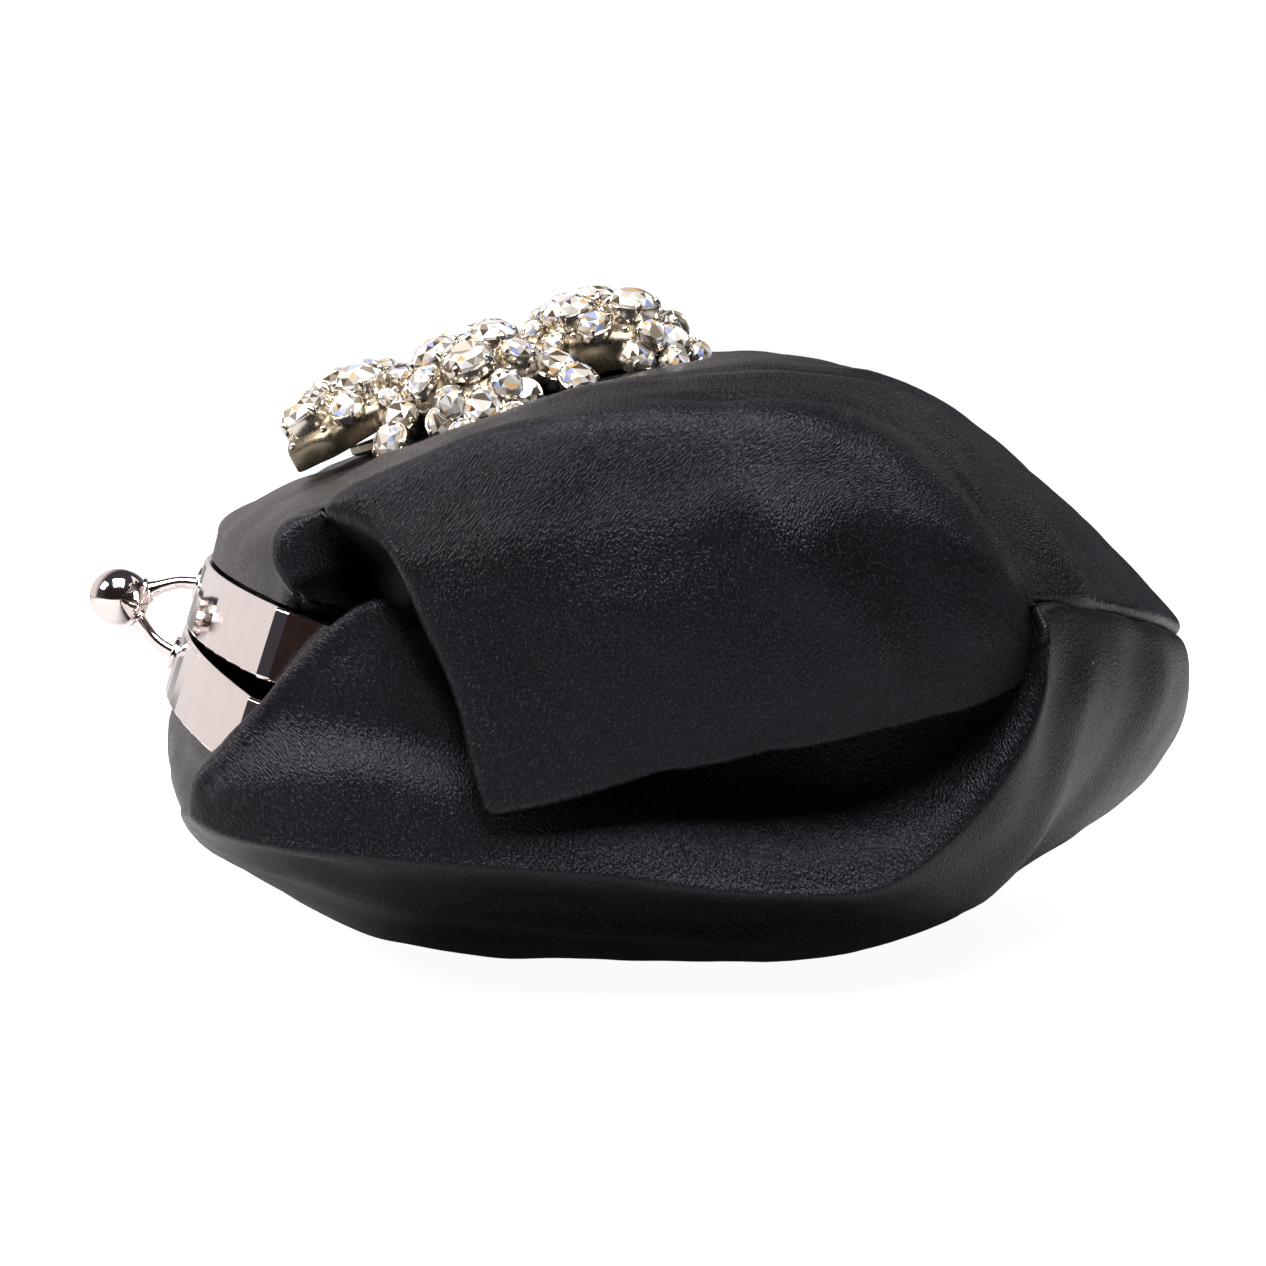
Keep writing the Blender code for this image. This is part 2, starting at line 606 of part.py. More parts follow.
def make_satin(finish):
    heart = bag_heart()
    front = surface(both_halves(front_rows()), PANEL_STEPS)
    cut = YOKE_ROWS * PANEL_STEPS
    yoke = [list(row) for row in front[: cut + 1]]
    towards_frame = (yoke[-2][0] - yoke[-1][0]).normalized()
    yoke[-1] = [p + towards_frame * 2 * GAP for p in yoke[-1]]
    sheet_solid("satin_front_yoke", yoke, SATIN_THICKNESS, heart, finish)
    panel = sheet_solid("satin_front_panel", front[cut:], SATIN_THICKNESS, heart, finish)
    back_rows = mouth_rows(BACK_MOUTH, -1) + net_points(BACK_NET)
    back = above_table(surface(both_halves(back_rows), PANEL_STEPS))
    sheet_solid("satin_back_panel", back, SATIN_THICKNESS, heart, finish)
    for x_sign, label in ((-1, "left"), (1, "right")):
        for name, net in (("satin_side_fold", SIDE_FOLD_NET), ("satin_gusset", GUSSET_NET)):
            points = net_points(net)
            if x_sign < 0:
                points = other_side(points)
            grid = surface(points, PANEL_STEPS)
            sheet_solid(f"{name}_{label}", grid, SATIN_THICKNESS, heart, finish)
    return panel


def lining_ring(centre_y, centre_z, half_width, half_height, lean):
    """One ring of the lining pouch, as points in order round it."""
    points = []
    power = 2.0 / LINING_ROUNDNESS
    tilt = math.radians(lean)
    for k in range(LINING_SIDES):
        angle = 2 * math.pi * k / LINING_SIDES
        c, s = math.cos(angle), math.sin(angle)
        across = math.copysign(abs(c) ** power, c) * half_width
        up = math.copysign(abs(s) ** power, s) * half_height
        points.append(Vector((across, centre_y + up * math.sin(tilt), centre_z + up * math.cos(tilt))) * MM)
    return points


def make_lining_pouch(finish):
    """The lining bag: a closed-ended pouch with its mouth open towards the frame."""
    thickness = LINING_THICKNESS / MM
    outer = [lining_ring(*ring) for ring in LINING_RINGS]
    inner = [lining_ring(y, z, a - thickness, b - thickness, lean) for y, z, a, b, lean in LINING_RINGS]
    verts = [p for ring in outer for p in ring] + [p for ring in inner for p in ring]
    sides, rings = LINING_SIDES, len(LINING_RINGS)
    under = sides * rings
    verts.append(Vector((0, LINING_POLE[0], LINING_POLE[1])) * MM)
    verts.append(Vector((0, LINING_POLE[0] - 1.5 * thickness, LINING_POLE[1])) * MM)
    outer_pole, inner_pole = len(verts) - 2, len(verts) - 1
    faces = []
    for k in range(sides):
        n = (k + 1) % sides
        for i in range(rings - 1):
            a, b = i * sides, (i + 1) * sides
            faces.append((a + k, a + n, b + n, b + k))
            faces.append((under + a + n, under + a + k, under + b + k, under + b + n))
        last = (rings - 1) * sides
        faces.append((last + k, last + n, outer_pole))
        faces.append((under + last + n, under + last + k, inner_pole))
        faces.append((n, k, under + k, under + n))
    return outward(mesh_object("lining_pouch", verts, faces, finish))


def make_lining_neck(name, side, finish):
    """The strip of lining between a channel and the lining pouch's mouth, in the bag's own space."""
    rows = []
    reach = 52.0 * MM
    mouth_y, mouth_z, half_width, half_height, lean = LINING_RINGS[0]
    for k in range(13):
        x = reach * (2 * k / 12 - 1)
        depth = arch_depth(x) + CHANNEL_DEPTH + 1.2 * MM
        offset = side * (closing_offset(x) + CHANNEL_WIDTH * 0.5)
        start = FRAME_CROWN + Vector((x, 0, 0)) + INTO_BAG * depth + TO_FRONT * offset
        share = (1 - (abs(x / MM) / half_width) ** LINING_ROUNDNESS) ** (1 / LINING_ROUNDNESS)
        up = side * half_height * share
        tilt = math.radians(lean)
        end_y = (mouth_y + up * math.sin(tilt)) * MM
        end_z = (mouth_z + up * math.cos(tilt)) * MM
        end = Vector((x, end_y, end_z)) - INTO_BAG * 1.6 * MM
        middle = (start + end) / 2 + TO_FRONT * side * 4.0 * MM
        rows.append(smooth_curve([start, middle, end], 3))
    heart = bag_heart() - INTO_BAG * 20 * MM
    return sheet_solid(name, rows, LINING_THICKNESS, heart, finish)


def make_inner_pocket(finish):
    """A slip pocket that follows the pouch's back, a little off it."""
    shrink = (LINING_THICKNESS + POCKET_AIR) / MM
    bottom = LINING_SIDES * 3 // 4
    grid = []
    for y, z, half_width, half_height, lean in LINING_RINGS[POCKET_RINGS]:
        ring = lining_ring(y, z, half_width - shrink, half_height - shrink, lean)
        grid.append(ring[bottom - POCKET_REACH : bottom + POCKET_REACH + 1])
    return sheet_solid("inner_pocket", grid, LINING_THICKNESS, bag_heart(), finish)


# ---------------------------------------------------------------- ornament
def ornament_space():
    """The empty that carries the ornament, lying on the front panel's middle line."""
    rows = [row[0] for row in front_rows()]
    first = int(ORNAMENT_ROW)
    near = [through(*rows[first - 1 : first + 3], ORNAMENT_ROW - first + step) for step in (0.0, 0.02)]
    along = (near[1] - near[0]).normalized()
    normal = Vector((0.0, -along.z, along.y))
    empty = bpy.data.objects.new("ornament_axis", None)
    bpy.context.scene.collection.objects.link(empty)
    empty.location = near[0] + normal * ORNAMENT_AIR
    empty.rotation_euler = (math.atan2(along.z, along.y), 0.0, 0.0)
    return empty


def dome_arc(radius, low, high, steps):
    """Points of a quarter ellipse, from its foot up to the axis."""
    angles = [math.pi / 2 * k / steps for k in range(steps + 1)]
    arc = [(radius * math.cos(a), low + (high - low) * math.sin(a)) for a in angles]
    return arc[:-1] + [(0, high)]


def setting_profile(radius, height, steps):
    """Half outline of a domed setting, cast hollow and open at the back."""
    rim = RIM_SHARE * height
    inner = dome_arc(radius * DOME_SHARE - SETTING_WALL, rim, height - SETTING_WALL, steps)
    outer = dome_arc(radius * DOME_SHARE, rim, height, steps)
    edge = [(radius * DOME_SHARE - SETTING_WALL, 0), (radius, 0), (radius, rim * 0.5)]
    return inner[::-1] + edge + outer


def make_setting(name, size, place, finish, space):
    """A domed cast setting of length x and width y, turned to face out from the ornament's middle."""
    shape = turned(name, setting_profile(size.y / 2, size.z, 4), 20, finish, space)
    shape.data.transform(Matrix.Diagonal((size.x / size.y, 1.0, 1.0, 1.0)))
    shape.matrix_local = place
    return shape


def stone_profile(radius):
    """A flat-backed cut: girdle, crown and flat table."""
    girdle, table = radius * 0.22, radius * 0.62
    return [(0, 0), (radius * 0.9, 0), (radius, girdle), (radius * 0.58, table), (0, table)]


def make_stone(name, radius, place, finish, space):
    stone = turned(name, stone_profile(radius), 10, finish, space)
    stone.data.set_sharp_from_angle(angle=math.radians(8))
    stone.matrix_local = place
    return stone


def petal_place(index):
    angle = 2 * math.pi * index / PETAL_COUNT
    lift = Matrix.Translation((PETAL_RING_RADIUS, 0, ORNAMENT_BASE_THICKNESS + 2.4 * MM))
    return Matrix.Rotation(angle, 4, "Z") @ lift @ Matrix.Rotation(PETAL_SLOPE, 4, "Y")


def dome_seat(size, x, y):
    """Where a flat-backed stone lies on a setting's dome at x, y from its middle."""
    half = Vector((size.x * DOME_SHARE / 2, size.y * DOME_SHARE / 2, size.z * (1 - RIM_SHARE)))
    lift = math.sqrt(1 - (x / half.x) ** 2 - (y / half.y) ** 2)
    normal = Vector((x / half.x**2, y / half.y**2, lift / half.z)).normalized()
    place = Vector((x, y, RIM_SHARE * size.z + half.z * lift)) + normal * GAP
    return Matrix.Translation(place) @ normal.to_track_quat("Z", "X").to_matrix().to_4x4()


def make_ornament(finishes, space):
    """Base plate, six petal settings and a raised middle one, with their stones."""
    radius, thick = ORNAMENT_BASE_RADIUS, ORNAMENT_BASE_THICKNESS
    base = [(0, 0), (radius * 0.97, 0), (radius, thick * 0.3), (radius, thick), (0, thick)]
    turned("ornament_base", base, 32, finishes["setting"], space)
    stones = 0
    for index in range(PETAL_COUNT):
        place = petal_place(index)
        make_setting(f"ornament_petal_{index + 1}", PETAL_SIZE, place, finishes["setting"], space)
        spots = [(5.6 * MM, 0.0), (-1.6 * MM, 3.6 * MM), (-1.6 * MM, -3.6 * MM)]
        for x, y in spots:
            stones += 1
            seat = place @ dome_seat(PETAL_SIZE, x, y)
            make_stone(f"stone_{stones:02d}", STONE_RADIUS, seat, finishes["crystal"], space)
    middle = Matrix.Translation((0, 0, thick + GAP))
    make_setting("ornament_middle", CENTRE_SIZE, middle, finishes["setting"], space)
    top = Matrix.Translation((0, 0, thick + 2 * GAP + CENTRE_SIZE.z))
    make_stone("stone_middle", CENTRE_STONE_RADIUS, top, finishes["crystal"], space)


def make_fixings(panel, finishes, space):
    """The backing plate inside the front panel, and the two posts that clamp the ornament to it."""
    half = BACKING_SIZE / 2
    depth = ORNAMENT_AIR + SATIN_THICKNESS + 2 * GAP + half.z
    low = Vector((-half.x, -half.y, -depth - half.z))
    high = Vector((half.x, half.y, -depth + half.z))
    box("ornament_backing", low, high, finishes["steel"], space)
    for x_sign, label in ((-1, "left"), (1, "right")):
        length = depth - half.z - GAP
        post = [(0, 0), (POST_RADIUS, 0), (POST_RADIUS, length - GAP), (0, length - GAP)]
        place = (x_sign * POST_SPACING / 2, 0.0, -length)
        made = turned(f"ornament_post_{label}", post, 12, finishes["steel"], space)
        made.location = place
        hole = [(0, -4 * MM), (POST_RADIUS + GAP, -4 * MM), (POST_RADIUS + GAP, 4 * MM), (0, 4 * MM)]
        drill = turned(f"panel_drill_{label}", hole, 12, finishes["steel"], space)
        drill.location = place
        join_shapes(panel, [drill], "DIFFERENCE")


# ---------------------------------------------------------------- the bag
def main():
    clear_scene()
    finishes = make_materials()
    nickel, lining = finishes["nickel"], finishes["lining"]
    frame = frame_space()
    for name, side in (("front", 1), ("rear", -1)):
        make_frame_half(f"{name}_frame", side, nickel, frame)
        make_retaining_cord(f"{name}_retaining_cord", side, finishes["cord"], frame)
        make_stem(f"{name}_clasp_stem", side, nickel, frame)
        make_ball(f"{name}_clasp_ball", side, nickel, frame)
        make_lining_neck(f"lining_{name}_neck", side, lining)
    for x_sign, label in ((-1, "left"), (1, "right")):
        make_hinge_pin(f"hinge_pin_{label}", x_sign, nickel, frame)
    panel = make_satin(finishes["satin"])
    make_lining_pouch(lining)
    make_inner_pocket(lining)
    ornament = ornament_space()
    make_ornament(finishes, ornament)
    make_fixings(panel, finishes, ornament)


main()
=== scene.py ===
import math
import random

import bmesh
import bpy
from mathutils import Matrix, Vector, noise


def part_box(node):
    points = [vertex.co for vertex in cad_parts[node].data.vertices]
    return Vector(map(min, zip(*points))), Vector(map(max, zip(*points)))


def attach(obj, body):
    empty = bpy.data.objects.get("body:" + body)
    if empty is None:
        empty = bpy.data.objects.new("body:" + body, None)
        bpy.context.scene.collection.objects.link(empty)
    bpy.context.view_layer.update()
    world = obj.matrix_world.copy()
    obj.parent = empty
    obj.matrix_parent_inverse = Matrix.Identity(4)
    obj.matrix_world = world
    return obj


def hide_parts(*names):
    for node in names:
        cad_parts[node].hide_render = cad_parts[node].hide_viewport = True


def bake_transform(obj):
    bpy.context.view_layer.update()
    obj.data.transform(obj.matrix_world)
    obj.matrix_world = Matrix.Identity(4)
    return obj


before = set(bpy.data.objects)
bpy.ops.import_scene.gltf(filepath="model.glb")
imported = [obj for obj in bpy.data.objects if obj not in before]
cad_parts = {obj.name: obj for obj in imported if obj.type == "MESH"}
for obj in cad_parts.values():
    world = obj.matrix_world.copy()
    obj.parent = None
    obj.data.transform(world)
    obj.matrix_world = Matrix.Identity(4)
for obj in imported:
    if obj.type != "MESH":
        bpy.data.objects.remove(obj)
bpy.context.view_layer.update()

MM = 0.001
dice = random.Random(11)

# ---------------------------------------------------------------- sizes, as the bag was made
FRAME_HALF_LENGTH = 70.0  # mm, as all the sizes below are
FRAME_ARCH_RADIUS = 200.0
FRAME_LEG_LENGTH = 22.0
FRAME_TILT = math.radians(17.5)
FRAME_CROWN = Vector((0.0, -60.2, 40.1))
CHANNEL_WIDTH = 9.0
CHANNEL_DEPTH = 6.0
CLOSED_GAP = 0.15
BOW = 1.1
BALL_RADIUS = 3.85
BALL_HEIGHT = 9.6
STEM_RADIUS = 0.85
BALL_LEAN = 0.3
ARCH_RISE = FRAME_ARCH_RADIUS - math.sqrt(FRAME_ARCH_RADIUS**2 - FRAME_HALF_LENGTH**2)
INTO_BAG = Vector((0.0, math.cos(FRAME_TILT), -math.sin(FRAME_TILT)))
TO_FRONT = Vector((0.0, math.sin(FRAME_TILT), math.cos(FRAME_TILT)))

SATIN_THICKNESS = 0.7
LINING_THICKNESS = 0.5
PETAL_COUNT = 6
PETAL_RING_RADIUS = 19.4
PETAL_SIZE = Vector((21.4, 16.6, 4.8))
PETAL_SLOPE = math.radians(13.0)
ORNAMENT_BASE_THICKNESS = 1.4
RIM_SHARE = 0.22
DOME_SHARE = 0.97
STONE_RADIUS = 3.3
PETAL_SKIRT = 2.2  # how far a petal's edge turns down towards the satin
CENTRE_STONE_RADIUS = 4.6
CENTRE_SIZE = Vector((15.0, 15.0, 6.0))


# ---------------------------------------------------------------- small helpers
def tint(code):
    """A colour from its sRGB hex code, in the linear values that a shader takes."""
    parts = [int(code[k : k + 2], 16) / 255 for k in (1, 3, 5)]
    return [p / 12.92 if p <= 0.04045 else ((p + 0.055) / 1.055) ** 2.4 for p in parts] + [1.0]


def add(tree, kind, values=None, links=None):
    """Adds a node; values are its settings and socket values, links the outputs that feed its sockets."""
    made = tree.nodes.new("ShaderNode" + kind)
    for key, value in (values or {}).items():
        if isinstance(key, str) and hasattr(made, key):
            setattr(made, key, value)
        else:
            made.inputs[key].default_value = value
    for key, output in (links or {}).items():
        tree.links.new(output, made.inputs[key])
    return made


def finish_named(name):
    """A new material and its shader, ready for more nodes."""
    made = bpy.data.materials.new(name)
    made.use_nodes = True
    return made, made.node_tree, made.node_tree.nodes["Principled BSDF"]


def set_shader(shader, **values):
    for key, value in values.items():
        shader.inputs[key.replace("_", " ")].default_value = value


def deselect():
    if bpy.context.object and bpy.context.object.mode != "OBJECT":
        bpy.ops.object.mode_set(mode="OBJECT")
    bpy.ops.object.select_all(action="DESELECT")


def only(obj):
    deselect()
    obj.select_set(True)
    bpy.context.view_layer.objects.active = obj
    return obj


def named(name, *materials):
    """The active object, named and given its materials."""
    obj = bpy.context.object
    obj.name = name
    obj.data.name = name
    obj.data.materials.clear()
    for m in materials:
        obj.data.materials.append(m)
    return obj


def apply_modifiers(obj):
    only(obj)
    for step in list(obj.modifiers):
        bpy.ops.object.modifier_apply(modifier=step.name)
    return obj


def smooth(obj, degrees=35):
    only(obj)
    bpy.ops.object.shade_smooth_by_angle(angle=math.radians(degrees))
    return obj


def copy_of(obj, name, place):
    """A copy with its own mesh, put in place."""
    made = obj.copy()
    made.data = obj.data.copy()
    made.name = name
    made.data.name = name
    bpy.context.scene.collection.objects.link(made)
    made.data.transform(place)
    return made


def joined(name, parts):
    """The parts as one object."""
    deselect()
    for part in parts:
        part.select_set(True)
    bpy.context.view_layer.objects.active = parts[0]
    bpy.ops.object.join()
    made = bpy.context.object
    made.name = name
    made.data.name = name
    return made


def drop(*objs):
    for obj in objs:
        bpy.data.objects.remove(obj)


# ---------------------------------------------------------------- camera, light and floor
CAMERA_AZIMUTH = math.radians(88.0)
CAMERA_HEIGHT = math.radians(4.0)
CAMERA_DISTANCE = 0.65
CAMERA_TARGET = Vector((0.0, 0.0, 0.038))
DIM_SIDE = Vector((1.0, -0.12, 0.12))
DIM_TONE = "#2b2320"
WALL_SIDE = Vector((-0.75, -0.65, 0.1))
WALL_TONE = "#f1e9e7"
ROOM_TONE = "#434047"
TABLE_EDGE = 0.34  # how far the table reaches towards the dim side, in metres


def make_camera():
    back = Vector(
        (
            math.sin(CAMERA_AZIMUTH) * math.cos(CAMERA_HEIGHT),
            -math.cos(CAMERA_AZIMUTH) * math.cos(CAMERA_HEIGHT),
            math.sin(CAMERA_HEIGHT),
        )
    )
    lens = bpy.data.cameras.new("camera")
    lens.lens = 136.3
    lens.sensor_width = 36.0
    lens.clip_start = 0.01
    camera = bpy.data.objects.new("camera", lens)
    camera.location = CAMERA_TARGET + back * CAMERA_DISTANCE
    camera.rotation_euler = (-back).to_track_quat("-Z", "Y").to_euler()
    bpy.context.scene.collection.objects.link(camera)
    bpy.context.scene.camera = camera


def soft_light(name, place, size, power, colour="#ffffff"):
    lamp = bpy.data.lights.new(name, "AREA")
    lamp.shape = "RECTANGLE"
    lamp.size, lamp.size_y = size
    lamp.energy = power
    lamp.color = tint(colour)[:3]
    obj = bpy.data.objects.new(name, lamp)
    obj.location = place
    obj.rotation_euler = (CAMERA_TARGET - obj.location).to_track_quat("-Z", "Y").to_euler()
    bpy.context.scene.collection.objects.link(obj)


def facing(tree, direction, low, high):
    """How far the room's direction turns towards this one, from 0 at low to 1 at high."""
    spot = add(tree, "TexCoord")
    side = add(
        tree,
        "VectorMath",
        {"operation": "DOT_PRODUCT", 1: direction.normalized()},
        {0: spot.outputs["Generated"]},
    )
    reach = add(
        tree, "MapRange", {"interpolation_type": "SMOOTHSTEP", 1: low, 2: high}, {0: side.outputs["Value"]}
    )
    return reach.outputs[0]


def make_room():
    """A softly lit room: a bright wall behind the frame, and a dim, brownish side opposite the bag's end."""
    world = bpy.data.worlds.new("studio")
    bpy.context.scene.world = world
    world.use_nodes = True
    tree = world.node_tree
    wall = add(
        tree,
        "Mix",
        {"data_type": "RGBA", 6: tint(ROOM_TONE), 7: tint(WALL_TONE)},
        {0: facing(tree, WALL_SIDE, 0.60, 0.90)},
    )
    room = add(
        tree,
        "Mix",
        {"data_type": "RGBA", 7: tint(DIM_TONE)},
        {0: facing(tree, DIM_SIDE, 0.35, 0.85), 6: wall.outputs[2]},
    )
    sight = add(tree, "LightPath")
    seen = add(
        tree,
        "Mix",
        {"data_type": "RGBA", 7: tint("#ffffff")},
        {0: sight.outputs["Is Camera Ray"], 6: room.outputs[2]},
    )
    tree.links.new(seen.outputs[2], tree.nodes["Background"].inputs["Color"])


def make_studio():
    bpy.context.scene.view_settings.view_transform = "Standard"
    make_room()
    soft_light("overhead_softbox", (0.95, 0.10, 2.10), (1.5, 1.5), 105.0)
    soft_light("left_softbox", (0.16, -0.62, 0.52), (0.30, 0.30), 5.6, "#fff6f2")
    soft_light("rear_softbox", (-0.35, 0.45, 0.50), (0.4, 0.3), 0.5)
    deselect()
    bpy.ops.mesh.primitive_plane_add(size=4.0, location=(TABLE_EDGE - 2.0, 0.0, 0.0))
    paper, tree, shader = finish_named("white_paper_sweep")
    # Matt studio paper: an even, very slightly mottled white. Only the camera sees its full glow, so it
    # lights the satin from below much less than real white paper would.
    mottle = add(tree, "TexNoise", {"Scale": 9.0, "Detail": 2.0})
    shade = add(
        tree,
        "Mix",
        {"data_type": "RGBA", 6: tint("#b4b4b4"), 7: tint("#bcbcbc")},
        {0: mottle.outputs["Fac"]},
    )
    sight = add(tree, "LightPath")
    glow = add(tree, "MapRange", {3: 0.02, 4: 0.95}, {0: sight.outputs["Is Camera Ray"]})
    tree.links.new(shade.outputs[2], shader.inputs["Base Color"])
    tree.links.new(glow.outputs[0], shader.inputs["Emission Strength"])
    set_shader(shader, Roughness=0.9, Emission_Color=tint("#ffffff"))
    floor = named("floor", paper)


# ---------------------------------------------------------------- finishes
THREAD = 0.36  # mm; drawn several times as coarse as silk satin's so that it shows


def make_satin_finish():
    """Black silk satin: a dense warp face that glows softly along its folds, with a fine broken grain and
    painted glint specks in its colour.
    """
    made, tree, shader = finish_named("black_silk_satin")
    cloth = add(tree, "UVMap", {"uv_map": "cloth"})
    turn = add(
        tree,
        "Mapping",
        {"Rotation": (0.0, 0.0, math.radians(28.0)), "Scale": (1.0, 1.5, 1.0)},
        {"Vector": cloth.outputs["UV"]},
    )
    floats = add(
        tree,
        "TexNoise",
        {"Scale": 0.8 / (THREAD * MM), "Detail": 1.0, "Roughness": 0.6},
        {"Vector": turn.outputs["Vector"]},
    )
    grain = add(tree, "MapRange", {1: 0.30, 2: 0.72}, {0: floats.outputs["Fac"]})
    crease = add(
        tree,
        "TexNoise",
        {"Scale": 1.0 / (11.0 * MM), "Detail": 2.5, "Roughness": 0.5, "Distortion": 0.5},
        {"Vector": cloth.outputs["UV"]},
    )
    wide = add(tree, "Bump", {"Strength": 0.5, "Distance": 0.8 * MM}, {"Height": crease.outputs["Fac"]})
    fine = add(
        tree,
        "Bump",
        {"Strength": 0.9, "Distance": 0.12 * MM},
        {"Height": grain.outputs[0], "Normal": wide.outputs["Normal"]},
    )
    cloud_look = {"Scale": 1.0 / (26.0 * MM), "Detail": 2.0}
    cloud = add(tree, "TexNoise", cloud_look, {"Vector": cloth.outputs["UV"]})
    shade = add(
        tree,
        "Mix",
        {"data_type": "RGBA", 6: tint("#0a090b"), 7: tint("#121013")},
        {0: cloud.outputs["Fac"]},
    )
    weave = add(
        tree,
        "Mix",
        {"data_type": "RGBA", "blend_type": "MULTIPLY", 0: 0.75},
        {6: shade.outputs[2], 7: grain.outputs[0]},
    )
    spots = add(
        tree,
        "TexVoronoi",
        {"Scale": 1.0 / (8.5 * MM), "Randomness": 1.0},
        {"Vector": cloth.outputs["UV"]},
    )
    speck = add(tree, "MapRange", {1: 0.014, 2: 0.026, 3: 1.0, 4: 0.0}, {0: spots.outputs["Distance"]})
    # Painted glints: a fine noise lightens the base colour in small specks, standing in for thread
    # highlights.
    glint_noise_look = {"Scale": 1.1 / (THREAD * MM), "Detail": 1.0, "Roughness": 0.6}
    glint_noise = add(tree, "TexNoise", glint_noise_look, {"Vector": cloth.outputs["UV"]})
    glint = add(tree, "MapRange", {1: 0.57, 2: 0.74, 4: 0.5}, {0: glint_noise.outputs["Fac"]})
    with_painted_glints = add(
        tree,
        "Mix",
        {"data_type": "RGBA", 7: tint("#413f47")},
        {0: glint.outputs[0], 6: weave.outputs[2]},
    )
    lint = add(
        tree,
        "Mix",
        {"data_type": "RGBA", 7: tint("#8f8d95")},
        {0: speck.outputs[0], 6: with_painted_glints.outputs[2]},
    )
    gloss = add(tree, "MapRange", {3: 0.42, 4: 0.24}, {0: grain.outputs[0]})
    tree.links.new(lint.outputs[2], shader.inputs["Base Color"])
    tree.links.new(gloss.outputs[0], shader.inputs["Roughness"])
    tree.links.new(fine.outputs["Normal"], shader.inputs["Normal"])
    set_shader(shader, IOR=1.4, Specular_IOR_Level=0.36, Sheen_Weight=0.012, Sheen_Roughness=0.35)
    set_shader(shader, Specular_Tint=tint("#cfcbe0"), Sheen_Tint=tint("#9a97ab"))
    return made


def make_lining_finish():
    """Midnight-blue lining taffeta: matt, with a fine plain weave and faint streaks."""
    made, tree, shader = finish_named("midnight_taffeta")
    spot = add(tree, "TexCoord")
    streak = add(
        tree,
        "Mapping",
        {"Scale": (1.0, 0.08, 0.08)},
        {"Vector": spot.outputs["Object"]},
    )
    rib_look = {"Scale": 1.0 / (0.5 * MM), "Detail": 2.0}
    ribs = add(tree, "TexNoise", rib_look, {"Vector": streak.outputs["Vector"]})
    cloud_look = {"Scale": 1.0 / (18.0 * MM), "Detail": 3.0}
    cloud = add(tree, "TexNoise", cloud_look, {"Vector": spot.outputs["Object"]})
    shade = add(
        tree,
        "Mix",
        {"data_type": "RGBA", 6: tint("#11132e"), 7: tint("#1d2148")},
        {0: cloud.outputs["Fac"]},
    )
    relief = add(tree, "Bump", {"Strength": 0.3, "Distance": 0.08 * MM}, {"Height": ribs.outputs["Fac"]})
    gloss = add(tree, "MapRange", {1: 0.3, 2: 0.7, 3: 0.45, 4: 0.62}, {0: ribs.outputs["Fac"]})
    tree.links.new(shade.outputs[2], shader.inputs["Base Color"])
    tree.links.new(gloss.outputs[0], shader.inputs["Roughness"])
    tree.links.new(relief.outputs["Normal"], shader.inputs["Normal"])
    set_shader(shader, Sheen_Weight=0.2, Sheen_Roughness=0.4)
    return made


def make_metal(name, low, high, gloss, wear):
    """A metal whose colour drifts between two tones; gloss is its roughness range, wear its relief in mm."""
    made, tree, shader = finish_named(name)
    spot = add(tree, "TexCoord")
    drift_look = {"Scale": 1.0 / (7.0 * MM), "Detail": 3.0}
    drift = add(tree, "TexNoise", drift_look, {"Vector": spot.outputs["Object"]})
    fine = add(
        tree,
        "TexNoise",
        {"Scale": 1.0 / (0.6 * MM), "Detail": 3.0, "Roughness": 0.65},
        {"Vector": spot.outputs["Object"]},
    )
    shade = add(
        tree,
        "Mix",
        {"data_type": "RGBA", 6: tint(low), 7: tint(high)},
        {0: drift.outputs["Fac"]},
    )
    rough = add(tree, "MapRange", {1: 0.35, 2: 0.7, 3: gloss[0], 4: gloss[1]}, {0: fine.outputs["Fac"]})
    relief = add(tree, "Bump", {"Strength": 0.25, "Distance": wear * MM}, {"Height": fine.outputs["Fac"]})
    tree.links.new(shade.outputs[2], shader.inputs["Base Color"])
    tree.links.new(rough.outputs[0], shader.inputs["Roughness"])
    tree.links.new(relief.outputs["Normal"], shader.inputs["Normal"])
    set_shader(shader, Metallic=1.0)
    return made


def make_crystal_finish():
    """Foiled lead crystal with painted reflections: each facet gets a fixed colour, from smoky painted shade
    to white painted highlight, blue or amber.
    """
    made, tree, shader = finish_named("foiled_lead_crystal")
    painted_facet_light = add(tree, "Attribute", {"attribute_name": "painted_facet_light"})
    ramp = add(tree, "ValToRGB", {}, {"Fac": painted_facet_light.outputs["Fac"]})
    ramp.color_ramp.interpolation = "CONSTANT"
    # Painted facet light: dark smoky shade, beige and white highlights, and blue and amber fire.
    tones = ((0.0, "#5d5344"), (0.14, "#9f9483"), (0.34, "#d9d1c6"), (0.62, "#ffffff"))
    for k, (place, code) in enumerate(tones + ((0.90, "#a9bcff"), (0.95, "#f0c48a"))):
        stop = ramp.color_ramp.elements[k] if k < 2 else ramp.color_ramp.elements.new(place)
        stop.position = place
        stop.color = tint(code)
    tree.links.new(ramp.outputs["Color"], shader.inputs["Base Color"])
    set_shader(shader, Roughness=0.06, IOR=1.58, Metallic=0.4, Coat_Weight=0.8, Coat_Roughness=0.01)
    return made


